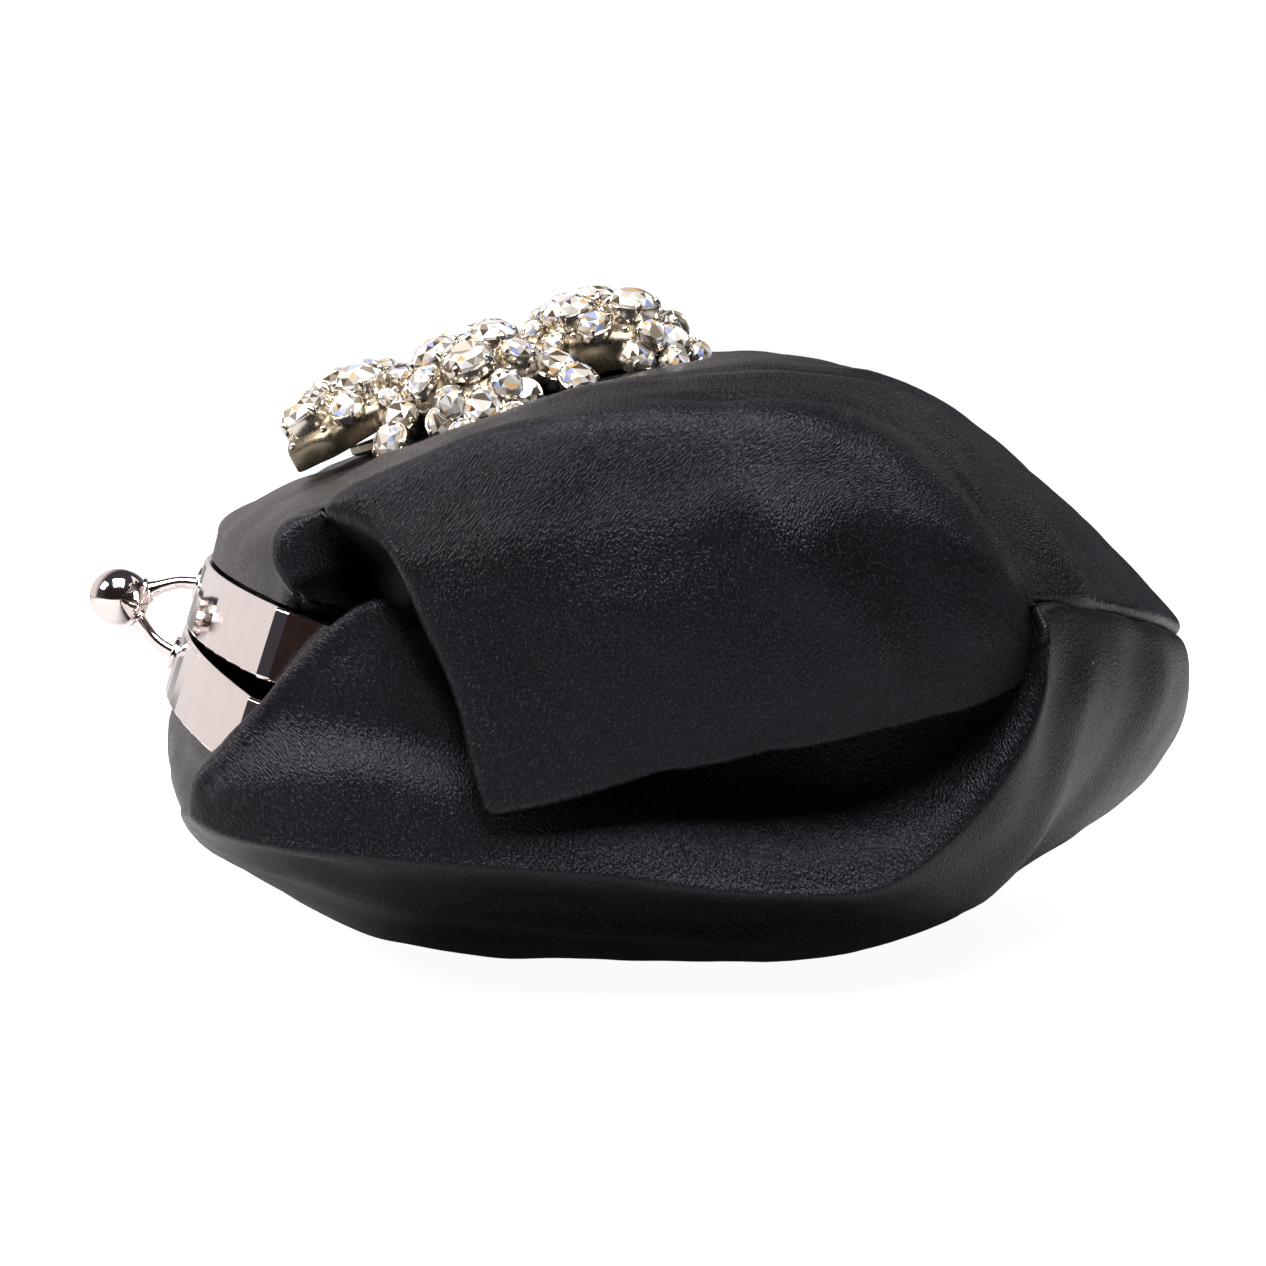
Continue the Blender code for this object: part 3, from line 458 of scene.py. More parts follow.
def make_cord_finish():
    """Twisted kraft-paper cord: dull brown with a slanting lay."""
    made, tree, shader = finish_named("twisted_paper_cord")
    spot = add(tree, "TexCoord")
    lay = add(
        tree,
        "TexWave",
        {"bands_direction": "DIAGONAL", "Scale": 1.0 / (1.1 * MM) / 6.3, "Distortion": 1.2},
        {"Vector": spot.outputs["Object"]},
    )
    shade = add(
        tree,
        "Mix",
        {"data_type": "RGBA", 6: tint("#8a6b45"), 7: tint("#bfa077")},
        {0: lay.outputs["Fac"]},
    )
    relief = add(tree, "Bump", {"Strength": 0.6, "Distance": 0.25 * MM}, {"Height": lay.outputs["Fac"]})
    tree.links.new(shade.outputs[2], shader.inputs["Base Color"])
    tree.links.new(relief.outputs["Normal"], shader.inputs["Normal"])
    set_shader(shader, Roughness=0.85)
    return made


# ---------------------------------------------------------------- smooth sheets through nets
def through(before, start, end, after, t):
    """Point at t between start and end on the smooth curve through four points."""
    a = 2 * start
    b = end - before
    c = 2 * before - 5 * start + 4 * end - after
    d = 3 * start - before - 3 * end + after
    return 0.5 * (a + b * t + c * t * t + d * t * t * t)


def smooth_curve(points, steps):
    first = 2 * points[0] - points[1]
    last = 2 * points[-1] - points[-2]
    padded = [first, *points, last]
    found = []
    for i in range(len(points) - 1):
        for k in range(steps):
            found.append(through(*padded[i : i + 4], k / steps))
    found.append(points[-1])
    return found


def surface(net, row_steps, column_steps):
    """The net made finer both ways, as rows of points."""
    rows = [smooth_curve(row, column_steps) for row in net]
    columns = [smooth_curve(list(column), row_steps) for column in zip(*rows)]
    return [list(row) for row in zip(*columns)]


def as_points(net):
    return [[Vector(point) for point in row] for row in net]


def grid_normals(grid):
    rows, columns = len(grid), len(grid[0])
    normals = []
    for i in range(rows):
        line = []
        for j in range(columns):
            down = grid[min(i + 1, rows - 1)][j] - grid[max(i - 1, 0)][j]
            across = grid[i][min(j + 1, columns - 1)] - grid[i][max(j - 1, 0)]
            line.append(across.cross(down).normalized() * -1)
        normals.append(line)
    return normals


def relax(grid, rounds):
    """Evens out the grid between its edges, as cloth does."""
    for _ in range(rounds):
        fresh = [list(row) for row in grid]
        for i in range(1, len(grid) - 1):
            for j in range(1, len(grid[0]) - 1):
                near = grid[i - 1][j] + grid[i + 1][j] + grid[i][j - 1] + grid[i][j + 1]
                fresh[i][j] = grid[i][j] * 0.5 + near * 0.125
        grid = fresh
    return grid


def cloth_sheet(name, grid, thickness, finish):
    """A sheet mesh from a grid in mm, thickened inwards; its cloth map is in metres along the weave."""
    rows, columns = len(grid), len(grid[0])
    mesh = bpy.data.meshes.new(name)
    verts = [grid[i][j] * MM for i in range(rows) for j in range(columns)]
    faces = []
    for i in range(rows - 1):
        for j in range(columns - 1):
            a = i * columns + j
            faces.append((a, a + columns, a + columns + 1, a + 1))
    mesh.from_pydata(verts, [], faces)
    middle = columns // 2
    across, along = [], []
    for i in range(rows):
        run = [0.0] * columns
        for j in range(1, columns):
            run[j] = run[j - 1] + (grid[i][j] - grid[i][j - 1]).length
        across.append([r - run[middle] for r in run])
    for j in range(columns):
        run = [0.0] * rows
        for i in range(1, rows):
            run[i] = run[i - 1] + (grid[i][j] - grid[i - 1][j]).length
        along.append(run)
    layer = mesh.uv_layers.new(name="cloth")
    for loop in mesh.loops:
        i, j = divmod(loop.vertex_index, columns)
        layer.data[loop.index].uv = (across[i][j] * MM, along[j][i] * MM)
    obj = bpy.data.objects.new(name, mesh)
    bpy.context.scene.collection.objects.link(obj)
    mesh.materials.append(finish)
    mesh.shade_smooth()
    wall = obj.modifiers.new("wall", "SOLIDIFY")
    wall.thickness = thickness * MM
    wall.offset = -1.0
    wall.use_even_offset = False
    apply_modifiers(obj)
    return obj


def raise_folds(grid, folds):
    """Lifts or sinks the grid along lines: each fold is its points, its height and half-width in mm."""
    normals = grid_normals(grid)
    lifted = []
    for i, row in enumerate(grid):
        line = []
        for j, point in enumerate(row):
            lift = 0.0
            for route, height, reach in folds:
                gap = distance_to(point, route, reach * 2.5)
                if gap is not None:
                    lift += height * math.exp(-((gap / reach) ** 2))
            line.append(point + normals[i][j] * lift)
        lifted.append(line)
    return lifted


def distance_to(point, route, limit):
    """Distance from the point to a line of points, or None past the limit."""
    best = None
    for start, end in zip(route, route[1:]):
        step = end - start
        share = max(0.0, min(1.0, (point - start).dot(step) / step.length_squared))
        gap = (start + step * share - point).length
        if gap < limit and (best is None or gap < best):
            best = gap
    return best


def crumple(grid, size, height, seed):
    """Adds soft uneven waves to the grid, size across and up to height in mm, fading out at its edges."""
    normals = grid_normals(grid)
    last_row, last_column = len(grid) - 1, len(grid[0]) - 1
    shift = Vector((seed * 17.3, seed * 5.1, seed * 9.7))
    waved = []
    for i, row in enumerate(grid):
        line = []
        for j, point in enumerate(row):
            hold = min(1.0, i / 8, (last_row - i) / 8, j / 6, (last_column - j) / 6)
            wave = noise.noise(point / size + shift) + 0.5 * noise.noise(point / size * 2.1 - shift)
            line.append(point + normals[i][j] * wave * height * hold)
        waved.append(line)
    return waved


# ---------------------------------------------------------------- satin
# Right half of each net, in mm: rows from the frame to the bag's bottom, points from the middle outwards.
FRONT_ROWS = [
    [(0, -46.3, 57.5), (22, -45.8, 57.5), (44, -43.8, 57.2), (62, -41.8, 56.6), (73, -44.2, 56.3),
     (77, -45.2, 54.9), (78.6, -45, 52.2), (78.2, -43.6, 49.4), (74.5, -42.6, 48), (70.5, -42, 47.4),
     (68, -41, 47), (66.5, -40, 46.6), (65, -39, 46.2)],
    [(0, -40.5, 59.5), (23, -40, 59.6), (46, -38.5, 59.3), (64, -37.5, 58.8), (76, -38.6, 58.6),
     (80.5, -40, 57.9), (79.2, -39.6, 55), (77.8, -38.2, 51.5), (75, -37.5, 48.9), (71, -36.8, 47),
     (68.3, -36, 46), (67, -35.4, 45.5), (65.5, -35, 45)],
    [(0, -37, 60.9), (23, -36.7, 60.9), (47, -36, 60.7), (66, -35.6, 60.3), (77.5, -36.6, 59.8),
     (81.5, -38.6, 58.3), (76.5, -36.4, 55), (71, -34.2, 51.5), (69, -32.5, 48.5), (68, -30.5, 46.5),
     (67.5, -28.5, 45), (67.2, -27, 44.4), (66.5, -26, 44)],
    [(0, -34, 61.9), (24, -33.8, 61.9), (47.5, -33.6, 61.7), (67, -33.6, 61.4), (79, -35.2, 60.7),
     (83, -38.3, 58.6), (83.3, -35.5, 56.3), (83.5, -29.5, 52.5), (84.5, -26, 44.5), (85, -22.7, 36),
     (85, -20, 27.5), (83.5, -19, 29), (81, -18, 33)],
    [(0, -32.5, 62.6), (24, -32.3, 62.6), (47.8, -32.2, 62.3), (67.5, -32.4, 62), (79.8, -34.2, 61.3),
     (84.8, -38.2, 58.9), (87.2, -34.2, 56.9), (89.4, -30.5, 53.6), (90.4, -26.6, 44.8),
     (90.7, -23.4, 36.4), (90.3, -20.4, 25.4), (89.2, -19.6, 24.8), (86.5, -18.5, 28)],
    [(0, -30, 63.6), (24, -29.5, 63.6), (48, -29, 63.2), (68.5, -29.3, 62.8), (81, -31, 62.6),
     (86, -34.4, 61.2), (88.6, -31.8, 58.2), (90.9, -27.8, 52.4), (91.8, -24.2, 43.6), (92, -21.2, 35.3),
     (91.2, -18.3, 25.2), (90.2, -17.8, 24.6), (87.5, -17, 28)],
    [(0, -20, 67), (24.5, -20, 67.1), (49, -20, 66.8), (70, -20.2, 66.2), (82, -21, 66.6),
     (87, -23.5, 66.2), (89.8, -21.8, 63), (91.8, -18.5, 54), (92.6, -15.5, 44.5), (92.8, -13, 35),
     (91.7, -11, 26.7), (90.7, -10.8, 26.1), (88, -10.5, 29.5)],
    [(0, -8, 70.8), (25, -8, 71.1), (50, -8, 70.8), (71.5, -8, 70.2), (83, -8.4, 70.6),
     (88, -9.2, 69.4), (91, -8.4, 66), (93, -6.5, 56), (93.7, -5, 46.5), (93.8, -3.5, 37),
     (92.2, -2, 29), (91.2, -1.9, 28.4), (88.5, -1.8, 31.5)],
    [(0, 5, 74), (25, 5, 74.2), (50, 5, 73.7), (72.5, 5, 72.3), (83.8, 5, 71.8),
     (88.8, 5, 70.5), (92, 5.3, 67), (94, 6, 58), (94.6, 6.8, 48.5), (94.3, 7.8, 39),
     (92.4, 8.7, 31.2), (91.4, 8.8, 30.6), (88.5, 8.8, 34)],
    [(0, 18, 75.2), (25, 18, 75.3), (50, 18, 74.6), (72.8, 17.5, 72.6), (83.8, 17.2, 71.8),
     (88.6, 17, 70.4), (91.8, 17.4, 67), (93.8, 18, 58.5), (94.2, 18.4, 49.5), (93.6, 18.8, 40.5),
     (91.3, 19.3, 32.9), (90.3, 19.3, 32.4), (87.5, 19.2, 36)],
    [(0, 31, 72.4), (25, 31, 72.4), (50, 30, 71.7), (72, 28.5, 70.4), (82.8, 27, 69.6),
     (87.6, 26, 67.8), (90.7, 26.5, 64.5), (92.4, 27.5, 57.5), (92.5, 28, 49.8), (91.7, 28.3, 42),
     (89.3, 28.6, 35), (88.3, 28.6, 34.5), (85.5, 28.4, 38)],
    [(0, 42, 66.6), (25, 41.7, 66.7), (49.5, 40, 66.6), (70.5, 36, 66), (81, 33.3, 65.6),
     (86, 32.2, 64.2), (88.7, 33.6, 60.5), (89.9, 35, 55), (90, 35.8, 49), (89.2, 36.2, 42.8),
     (87, 36.3, 36.5), (86.1, 36.2, 36), (83.5, 35.8, 39)],
    [(0, 52.5, 58.6), (25, 51.8, 59), (48.2, 48.2, 60.4), (68, 42.5, 60.8), (79, 38.6, 60.2),
     (84.2, 37, 59), (86.3, 39, 55.5), (87, 40.4, 51), (86.8, 41, 46.8), (86.2, 41.2, 42.6),
     (84.5, 41, 38), (83.7, 40.8, 37.6), (81.5, 40, 39.5)],
    [(0, 62.8, 49), (25, 61.6, 49.7), (47, 57.4, 52), (66, 49.5, 54), (77.5, 42.6, 53.6),
     (82.3, 40.6, 52.6), (83.8, 42, 50), (84, 43, 47.5), (83.8, 43.5, 45), (83.4, 43.6, 42.5),
     (82.4, 43.3, 39.5), (81.8, 43, 39), (80, 42, 40)],
    [(0, 70.2, 41.3), (25, 69, 42.2), (47, 63.6, 44.8), (65, 54.8, 47.4), (75.5, 46.6, 48.8),
     (79.5, 43.2, 48.4), (80.8, 43.4, 46.6), (81.2, 43.8, 45), (81.2, 44, 43.6), (81, 44, 42.2),
     (80.6, 43.8, 41), (80.2, 43.6, 40.6), (79.5, 43, 40.8)],
    [(0, 71.2, 38.9), (25, 70, 39.9), (47, 64.5, 42.7), (65, 55.6, 45.6), (75.4, 47.2, 47.4),
     (79, 43.6, 47), (79.6, 43.6, 45.8), (79.8, 43.6, 44.8), (79.8, 43.6, 43.8), (79.7, 43.5, 43),
     (79.5, 43.3, 42.2), (79.3, 43.2, 41.8), (78.8, 42.8, 41.6)],
    [(0, 68.7, 38.1), (24.5, 67.5, 39.1), (46, 62.2, 41.8), (63.6, 54.2, 44.8), (73.8, 46, 46.4),
     (77, 42.6, 46), (77.5, 42.6, 45), (77.7, 42.6, 44.2), (77.7, 42.6, 43.4), (77.6, 42.5, 42.8),
     (77.4, 42.3, 42.2), (77.2, 42.2, 41.8), (76.8, 41.8, 41.6)],
]
BACK_ROWS = [
    [(0, -61.5, 20), (22, -61, 20), (44, -59.3, 20), (62, -57.6, 20.6), (71, -56.6, 21.2),
     (77, -55.8, 21.8), (78.2, -55.3, 23), (78.4, -54.9, 24.2), (78, -54.3, 25.6), (77.2, -53.7, 26.8),
     (76, -53, 27.8), (73.8, -51.8, 27), (71.8, -50.5, 25.5)],
    [(0, -57, 13.5), (24, -56.5, 13.7), (48, -54.8, 14.3), (68, -53, 16.5), (77.5, -51.8, 18.4),
     (83, -50.8, 19.4), (83.5, -50.6, 21), (83, -50.6, 24), (82, -50.8, 27), (81, -51.2, 29.2),
     (79.8, -51.4, 30.6), (77, -50, 30.6), (72.5, -47.5, 29)],
    [(0, -47, 6.4), (25, -47, 6.7), (50, -45.5, 9.3), (70, -43, 14), (80.5, -42.3, 16.7),
     (86.6, -42, 18.2), (87, -42, 20), (86, -42.4, 24.5), (84.8, -43.4, 29.5), (83.8, -44.8, 34),
     (82.6, -45.8, 37), (79.5, -44.5, 37), (73, -42, 34)],
    [(0, -36, 1.7), (25, -36, 1.7), (50, -36, 3.9), (72, -34, 11), (82.5, -33.2, 14.9),
     (88.2, -33, 17.2), (88.6, -33, 19.2), (87.4, -33.4, 25), (85.8, -34.6, 32), (84.6, -36.4, 39),
     (83.6, -38.2, 44.2), (80.5, -37, 45), (74, -35, 42)],
    [(0, -29, 0.4), (25, -29, 0.4), (50, -29, 2.0), (72.5, -27, 9.8), (83.3, -26.5, 14.2),
     (88.9, -26, 16.6), (89.2, -26, 18.6), (87.8, -26.5, 24.5), (85.8, -28, 32), (84.6, -30.3, 40),
     (83.8, -32.6, 46.8), (80.8, -32.5, 48), (75, -31.5, 45.5)],
    [(0, -20, 0), (25, -20, 0), (50, -20, 0.6), (73, -18.5, 8.8), (84, -18, 13.6),
     (89.5, -17.5, 16), (89.7, -17.5, 18), (88, -18, 23.5), (85, -19.5, 31), (82.8, -22.5, 38),
     (81.8, -25.2, 43.6), (79.5, -25, 44.5), (75, -24.5, 43)],
    [(0, -8, 0), (25, -8, 0), (50, -8, 0), (73, -7, 7.4), (84.2, -6.5, 12.8),
     (89.8, -6, 15.2), (89.9, -6, 17), (87.5, -6.3, 22), (83, -7, 28.5), (80.3, -8, 35),
     (79, -9, 40), (77.5, -9, 41.5), (74.5, -9, 41)],
    [(0, 4, 0), (25, 4, 0), (50, 4, 0), (73, 4.5, 6.5), (84.3, 4.8, 11.8),
     (90, 5, 13.8), (89.9, 5, 15.6), (87, 5, 20.5), (81.5, 5, 27), (79, 4.5, 34),
     (78, 4, 39.5), (76.5, 4, 41), (74, 4, 40.5)],
    [(0, 18, 0), (25, 18, 0), (50, 18, 0), (72.6, 18, 5.6), (84, 17.2, 10.8),
     (89.6, 16.8, 12.8), (89.5, 16.8, 14.6), (86.5, 16.8, 19.4), (81, 16.8, 25.5), (78.4, 16.4, 32.5),
     (77.6, 16, 38.5), (76, 16, 40), (73.5, 16, 39.5)],
    [(0, 28, 0.9), (25, 28, 0.9), (50, 28, 1.5), (71.7, 27.3, 6.4), (82.8, 25.8, 11.2),
     (88.6, 25, 13.2), (88.6, 25.2, 15), (86, 25.4, 19.6), (80.8, 25.2, 25), (78.2, 24.6, 32),
     (77.5, 24, 38.5), (76, 24, 40), (73.5, 24, 39.5)],
    [(0, 38, 3.6), (25, 38, 3.6), (50, 37.6, 5), (70.6, 36, 9.2), (81, 33.5, 13.2),
     (86.8, 32, 16.4), (87, 32.2, 18.4), (85, 31.8, 22), (80.5, 30.8, 26.8), (78, 29.8, 33),
     (77.4, 29, 38.5), (76, 29, 40), (73.5, 29, 39.5)],
    [(0, 49, 9.5), (25, 48.5, 9.6), (48, 47.5, 11.5), (67, 45, 14.5), (79.5, 41.5, 18.8),
     (85.5, 39.2, 22.6), (86, 38.8, 24.8), (84.4, 37.6, 27), (80.5, 35.8, 30), (78, 34.6, 35),
     (77.4, 34, 39.5), (76, 34, 41), (73.5, 33.5, 40.5)],
    [(0, 59, 13.8), (24.5, 58, 14.2), (47, 55, 16), (65.5, 49.5, 19.8), (78.5, 45.5, 25.2),
     (84.8, 43.6, 29.2), (85.2, 43, 31.2), (83.8, 41.6, 32.4), (80.6, 39.8, 34), (78.4, 38.6, 37.5),
     (77.8, 38, 41), (76.5, 37.5, 42), (74, 37, 41.5)],
    [(0, 67.6, 19.4), (24, 66.4, 20), (46, 61.6, 22.6), (64.5, 53.8, 26.4), (77.6, 47.5, 32.4),
     (84.9, 46, 36), (85.1, 45.2, 37.6), (83.2, 43.8, 38.2), (81, 42.2, 39), (79.2, 41.2, 41),
     (78.6, 40.8, 43), (77, 40, 43.5), (75, 39.5, 43)],
    [(0, 72.4, 27), (24, 71.2, 27.6), (46, 66.2, 30.2), (64.5, 57, 33.8), (77.2, 49.2, 39),
     (84.8, 46.2, 42.4), (84.9, 45.4, 43.6), (83.4, 44.6, 44), (81, 43.4, 44), (80, 42.8, 44.4),
     (79.4, 42.4, 45), (78, 41.5, 45), (76.5, 41, 44.5)],
    [(0, 73, 34.4), (25, 71.8, 35.4), (47, 66.8, 38.4), (65, 57.2, 42), (76.6, 49.2, 45),
     (83.2, 45.6, 45.8), (83, 45, 46.2), (80.2, 43.8, 47.4), (79.8, 43.4, 47.4), (79.4, 43, 47.4),
     (79, 42.6, 47.4), (78.6, 42.2, 47.2), (78, 41.8, 47)],
    [(0, 71.8, 38), (25, 70.6, 39), (47, 65.4, 41.8), (65, 56, 45), (75.8, 48.4, 46.9),
     (80.6, 44.4, 46.8), (80.4, 44, 46.9), (79.2, 43.6, 48.1), (79, 43.3, 48.1), (78.8, 43, 48.1),
     (78.6, 42.7, 48.1), (78.3, 42.4, 48), (78, 42.2, 47.9)],
    [(0, 68.8, 38.4), (24.5, 67.7, 39.4), (46, 62.4, 42.1), (63.6, 53, 45.3), (73.8, 46, 46.8),
     (77.2, 42.6, 46.4), (77.2, 42.4, 46.5), (77, 42.5, 47.7), (76.8, 42.2, 47.7), (76.6, 42, 47.7),
     (76.4, 41.7, 47.7), (76.2, 41.4, 47.6), (76, 41.2, 47.5)],
]
# How far the mouth's rows lie from a channel's outer edge: into the bag, away from it along the bar and
# along the leg, and how much they widen past the frame.
FRONT_MOUTH = [(1.4, 0.5, 0.5, 0.985), (1.5, 3.2, 1.4, 0.99), (1.9, 5.6, 2.4, 1.02)]
BACK_MOUTH = [(2.0, 0.4, 0.5, 0.985), (2.0, 2.2, 1.2, 0.99), (2.2, 5.0, 2.2, 1.02)]
BAR_SHARES = (0.0, 0.28, 0.56, 0.8, 0.94, 1.0)  # where a mouth row's points lie along half the bar
LEG_RUNS = (1.2, 3.4, 5.6, 7.8, 10.0, 12.0, 13.8)  # and along the leg, from the corner
NET_STEPS = 8


def arch_depth(x):
    return FRAME_ARCH_RADIUS - math.sqrt(FRAME_ARCH_RADIUS**2 - x**2)


def closing_offset(x):
    return CLOSED_GAP + BOW * (x / FRAME_HALF_LENGTH) ** 2


def mouth_rows(mouth, side):
    """The rows of a sheet that lie along a frame half; side is 1 for the front and -1 for the rear."""
    rows = []
    for depth, bar_air, leg_air, widen in mouth:
        row = []
        for share in BAR_SHARES:
            x = share * widen * FRAME_HALF_LENGTH
            under = min(x, FRAME_HALF_LENGTH)
            into = INTO_BAG * (arch_depth(under) + depth)
            out = TO_FRONT * side * (closing_offset(under) + CHANNEL_WIDTH + bar_air)
            row.append(FRAME_CROWN + Vector((x, 0, 0)) + into + out)
        for run in LEG_RUNS:
            x = widen * FRAME_HALF_LENGTH - 0.28 * run
            into = INTO_BAG * (ARCH_RISE + depth + run)
            out = TO_FRONT * side * (closing_offset(FRAME_HALF_LENGTH) + CHANNEL_WIDTH + leg_air)
            row.append(FRAME_CROWN + Vector((x, 0, 0)) + into + out)
        rows.append(row)
    return rows


def both_halves(rows):
    """Net rows from the left edge to the right edge; the left side is made a little unlike the right."""
    whole = []
    for i, row in enumerate(rows):
        left = []
        for j, p in enumerate(reversed(row[1:])):
            loose = 0.0 if i < 4 else 1.1 * math.sin(i * 1.7 + j * 0.9)
            left.append(Vector((-p.x, p.y + 0.5 * loose, max(p.z + 0.35 * loose, min(p.z, 0.0)))))
        whole.append(left + row)
    return whole


# Soft folds pressed into the front panel and flap, and into the back and side walls: each is its route
# on the right side, its height (below zero for a hollow) and its half-width.
FRONT_FOLDS = [
    ([(78, -40, 56.8), (83, -32, 61.8), (85, -20, 65.2), (86, -6.9, 68.6), (86, 8.4, 70.8), (85.6, 18, 70.4),
      (85, 26, 67.8), (84, 33, 62.5), (83.5, 38.5, 56), (83, 42, 50)], 1.1, 1.7),
    ([(76, -24, 67), (77, -8, 71), (77, 6, 73.4), (77, 18, 73.2), (76, 27, 70), (75, 35, 65)], -1.7, 4.2),
    ([(70, 12, 73), (70, 20, 73.5), (70, 27.4, 68.5), (70, 33.5, 62), (72, 41, 54)], 1.3, 2.4),
    ([(60, 2, 71), (60, 13.5, 72), (60, 24.6, 73.5)], 1.2, 3.5),
    ([(52, 28, 73), (55, 40, 66), (60, 50, 57)], -1.2, 5.0),
    ([(64, 38, 64), (68, 46, 56), (72, 50, 50)], -1.0, 4.0),
    ([(40, -30, 63), (55, -8, 71), (62, 10, 73)], -0.8, 6.0),
    ([(92, -16, 50), (94, 0, 46), (94, 14, 52)], -1.0, 7.0),
    ([(92, 20, 62), (93, 27, 52), (91, 31, 42)], 1.1, 5.0),
    ([(94, 8, 60), (94, 20, 50), (92, 28, 38)], -0.9, 4.0),
    ([(30, -44, 58), (34, -30, 63), (38, -14, 69)], 0.7, 4.0),
    ([(58, -42, 57), (62, -30, 63), (66, -18, 67)], 0.9, 4.0),
]
BACK_FOLDS = [
    ([(78, -55.3, 24), (81.5, -51, 29.5), (83.5, -46, 36.5), (84, -40, 43), (84, -36, 46.5)], 0.8, 1.6),
    ([(84, -32.6, 47), (84.5, -29, 42), (84.5, -24, 32)], 0.7, 1.8),
    ([(84, -50, 27), (86, -38, 27), (87, -24, 24)], 1.0, 4.5),
    ([(85, -46, 34), (86, -34, 33), (84, -22, 30)], -1.0, 4.0),
    ([(70, -46, 12), (74, -20, 8), (74, 10, 6)], 1.0, 5.0),
    ([(78, -40, 15), (82, -10, 11), (82, 20, 10)], -0.8, 3.5),
    ([(70, 40, 11), (72, 48, 22), (72, 50, 34)], 1.4, 5.0),
    ([(60, 46, 12), (58, 58, 26), (58, 60, 38)], -1.0, 5.0),
]


def fold_routes(folds):
    """The folds on both sides, with the left ones a little shifted."""
    found = []
    for route, height, reach in folds:
        right = [Vector(p) for p in route]
        found.append((right, height, reach))
        left = [Vector((-p.x, p.y - 2.0, p.z)) for p in right]
        found.append((left, height * 0.9, reach * 1.1))
    return found


def above_table(grid):
    return [[Vector((p.x, p.y, max(p.z, 0.0))) for p in row] for row in grid]


def make_satin(finish):
    front = surface(both_halves(mouth_rows(FRONT_MOUTH, 1) + as_points(FRONT_ROWS)), NET_STEPS, NET_STEPS)
    front = raise_folds(relax(front, 3), fold_routes(FRONT_FOLDS))
    front = crumple(front, 13.0, 0.5, 1)
    top = cloth_sheet("satin_front", front, SATIN_THICKNESS, finish)
    replaced = ["satin_front_panel", "satin_front_yoke", "satin_side_fold_left", "satin_side_fold_right"]
    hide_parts(*replaced)
    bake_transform(top)
    back = surface(both_halves(mouth_rows(BACK_MOUTH, -1) + as_points(BACK_ROWS)), NET_STEPS, NET_STEPS)
    back = raise_folds(relax(back, 3), fold_routes(BACK_FOLDS))
    back = above_table(crumple(back, 14.0, 0.45, 2))
    under = cloth_sheet("satin_back", back, SATIN_THICKNESS, finish)
    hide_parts("satin_back_panel", "satin_gusset_left", "satin_gusset_right")
    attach(under, "pouch")


# ---------------------------------------------------------------- lining
LINING_RINGS = [
    (-19, 38, 60, 26, 25),
    (-4, 38, 70, 28, 13),
    (16, 38.5, 73, 31, 2),
    (36, 38.5, 67, 27, -5),
    (51, 39, 53, 18, -8),
    (59, 39.5, 36, 10, -8),
    (62.5, 40, 8, 2.5, -8),
]
LINING_ROUNDNESS = 2.3
LINING_SIDES = 72
RING_STEPS = 5


def lining_ring(ring):
    """One ring of the lining pouch: centre y and z, half-width, half-height and lean in degrees."""
    centre_y, centre_z, half_width, half_height, lean = ring
    power = 2.0 / LINING_ROUNDNESS
    tilt = math.radians(lean)
    points = []
    for k in range(LINING_SIDES + 1):
        angle = 2 * math.pi * k / LINING_SIDES
        c, s = math.cos(angle), math.sin(angle)
        across = math.copysign(abs(c) ** power, c) * half_width
        up = math.copysign(abs(s) ** power, s) * half_height
        points.append(Vector((across, centre_y + up * math.sin(tilt), centre_z + up * math.cos(tilt))))
    return points


def lining_row(ring, shrink, first, last):
    y, z, half_width, half_height, lean = ring
    return lining_ring((y, z, half_width - shrink, half_height - shrink, lean))[first:last]


LINING_MIDDLE_HEIGHT = 38.5  # the loose lining is drawn in towards this height,
LINING_SLACK = 0.9  # by this much, and ripples about there


def make_lining(finish):
    rings = smooth_curve([Vector(ring) for ring in LINING_RINGS], RING_STEPS)
    grid = [lining_ring(tuple(ring)) for ring in rings]
    waved = []
    for i, row in enumerate(grid):
        line = []
        for k, point in enumerate(row):
            turn = 2 * math.pi * k / LINING_SIDES
            wave = 0.5 * math.sin(7 * turn + 0.3 * i) + 0.3 * math.sin(13 * turn - 0.5 * i)
            pull = Vector((0, point.y, LINING_MIDDLE_HEIGHT)) - point
            line.append(point + pull.normalized() * (LINING_SLACK + wave))
        waved.append(line)
    pouch = cloth_sheet("lining_bag", waved, LINING_THICKNESS, finish)
    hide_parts("lining_pouch")
    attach(pouch, "pouch")
    bottom = LINING_SIDES * 3 // 4
    low, high = bottom - 8, bottom + 9
    pocket = [lining_row(tuple(ring), 2.2, low, high) for ring in rings[6:16]]
    slip = cloth_sheet("inner_slip_pocket", pocket, LINING_THICKNESS, finish)
    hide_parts("inner_pocket")
    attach(slip, "pouch")
    for side, label, node in ((1, "front", "lining_front_neck"), (-1, "rear", "lining_rear_neck")):
        neck = neck_grid(side)
        strip = cloth_sheet(f"lining_neck_{label}", neck, LINING_THICKNESS, finish)
        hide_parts(node)
        if side > 0:
            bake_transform(strip)
        else:
            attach(strip, "pouch")


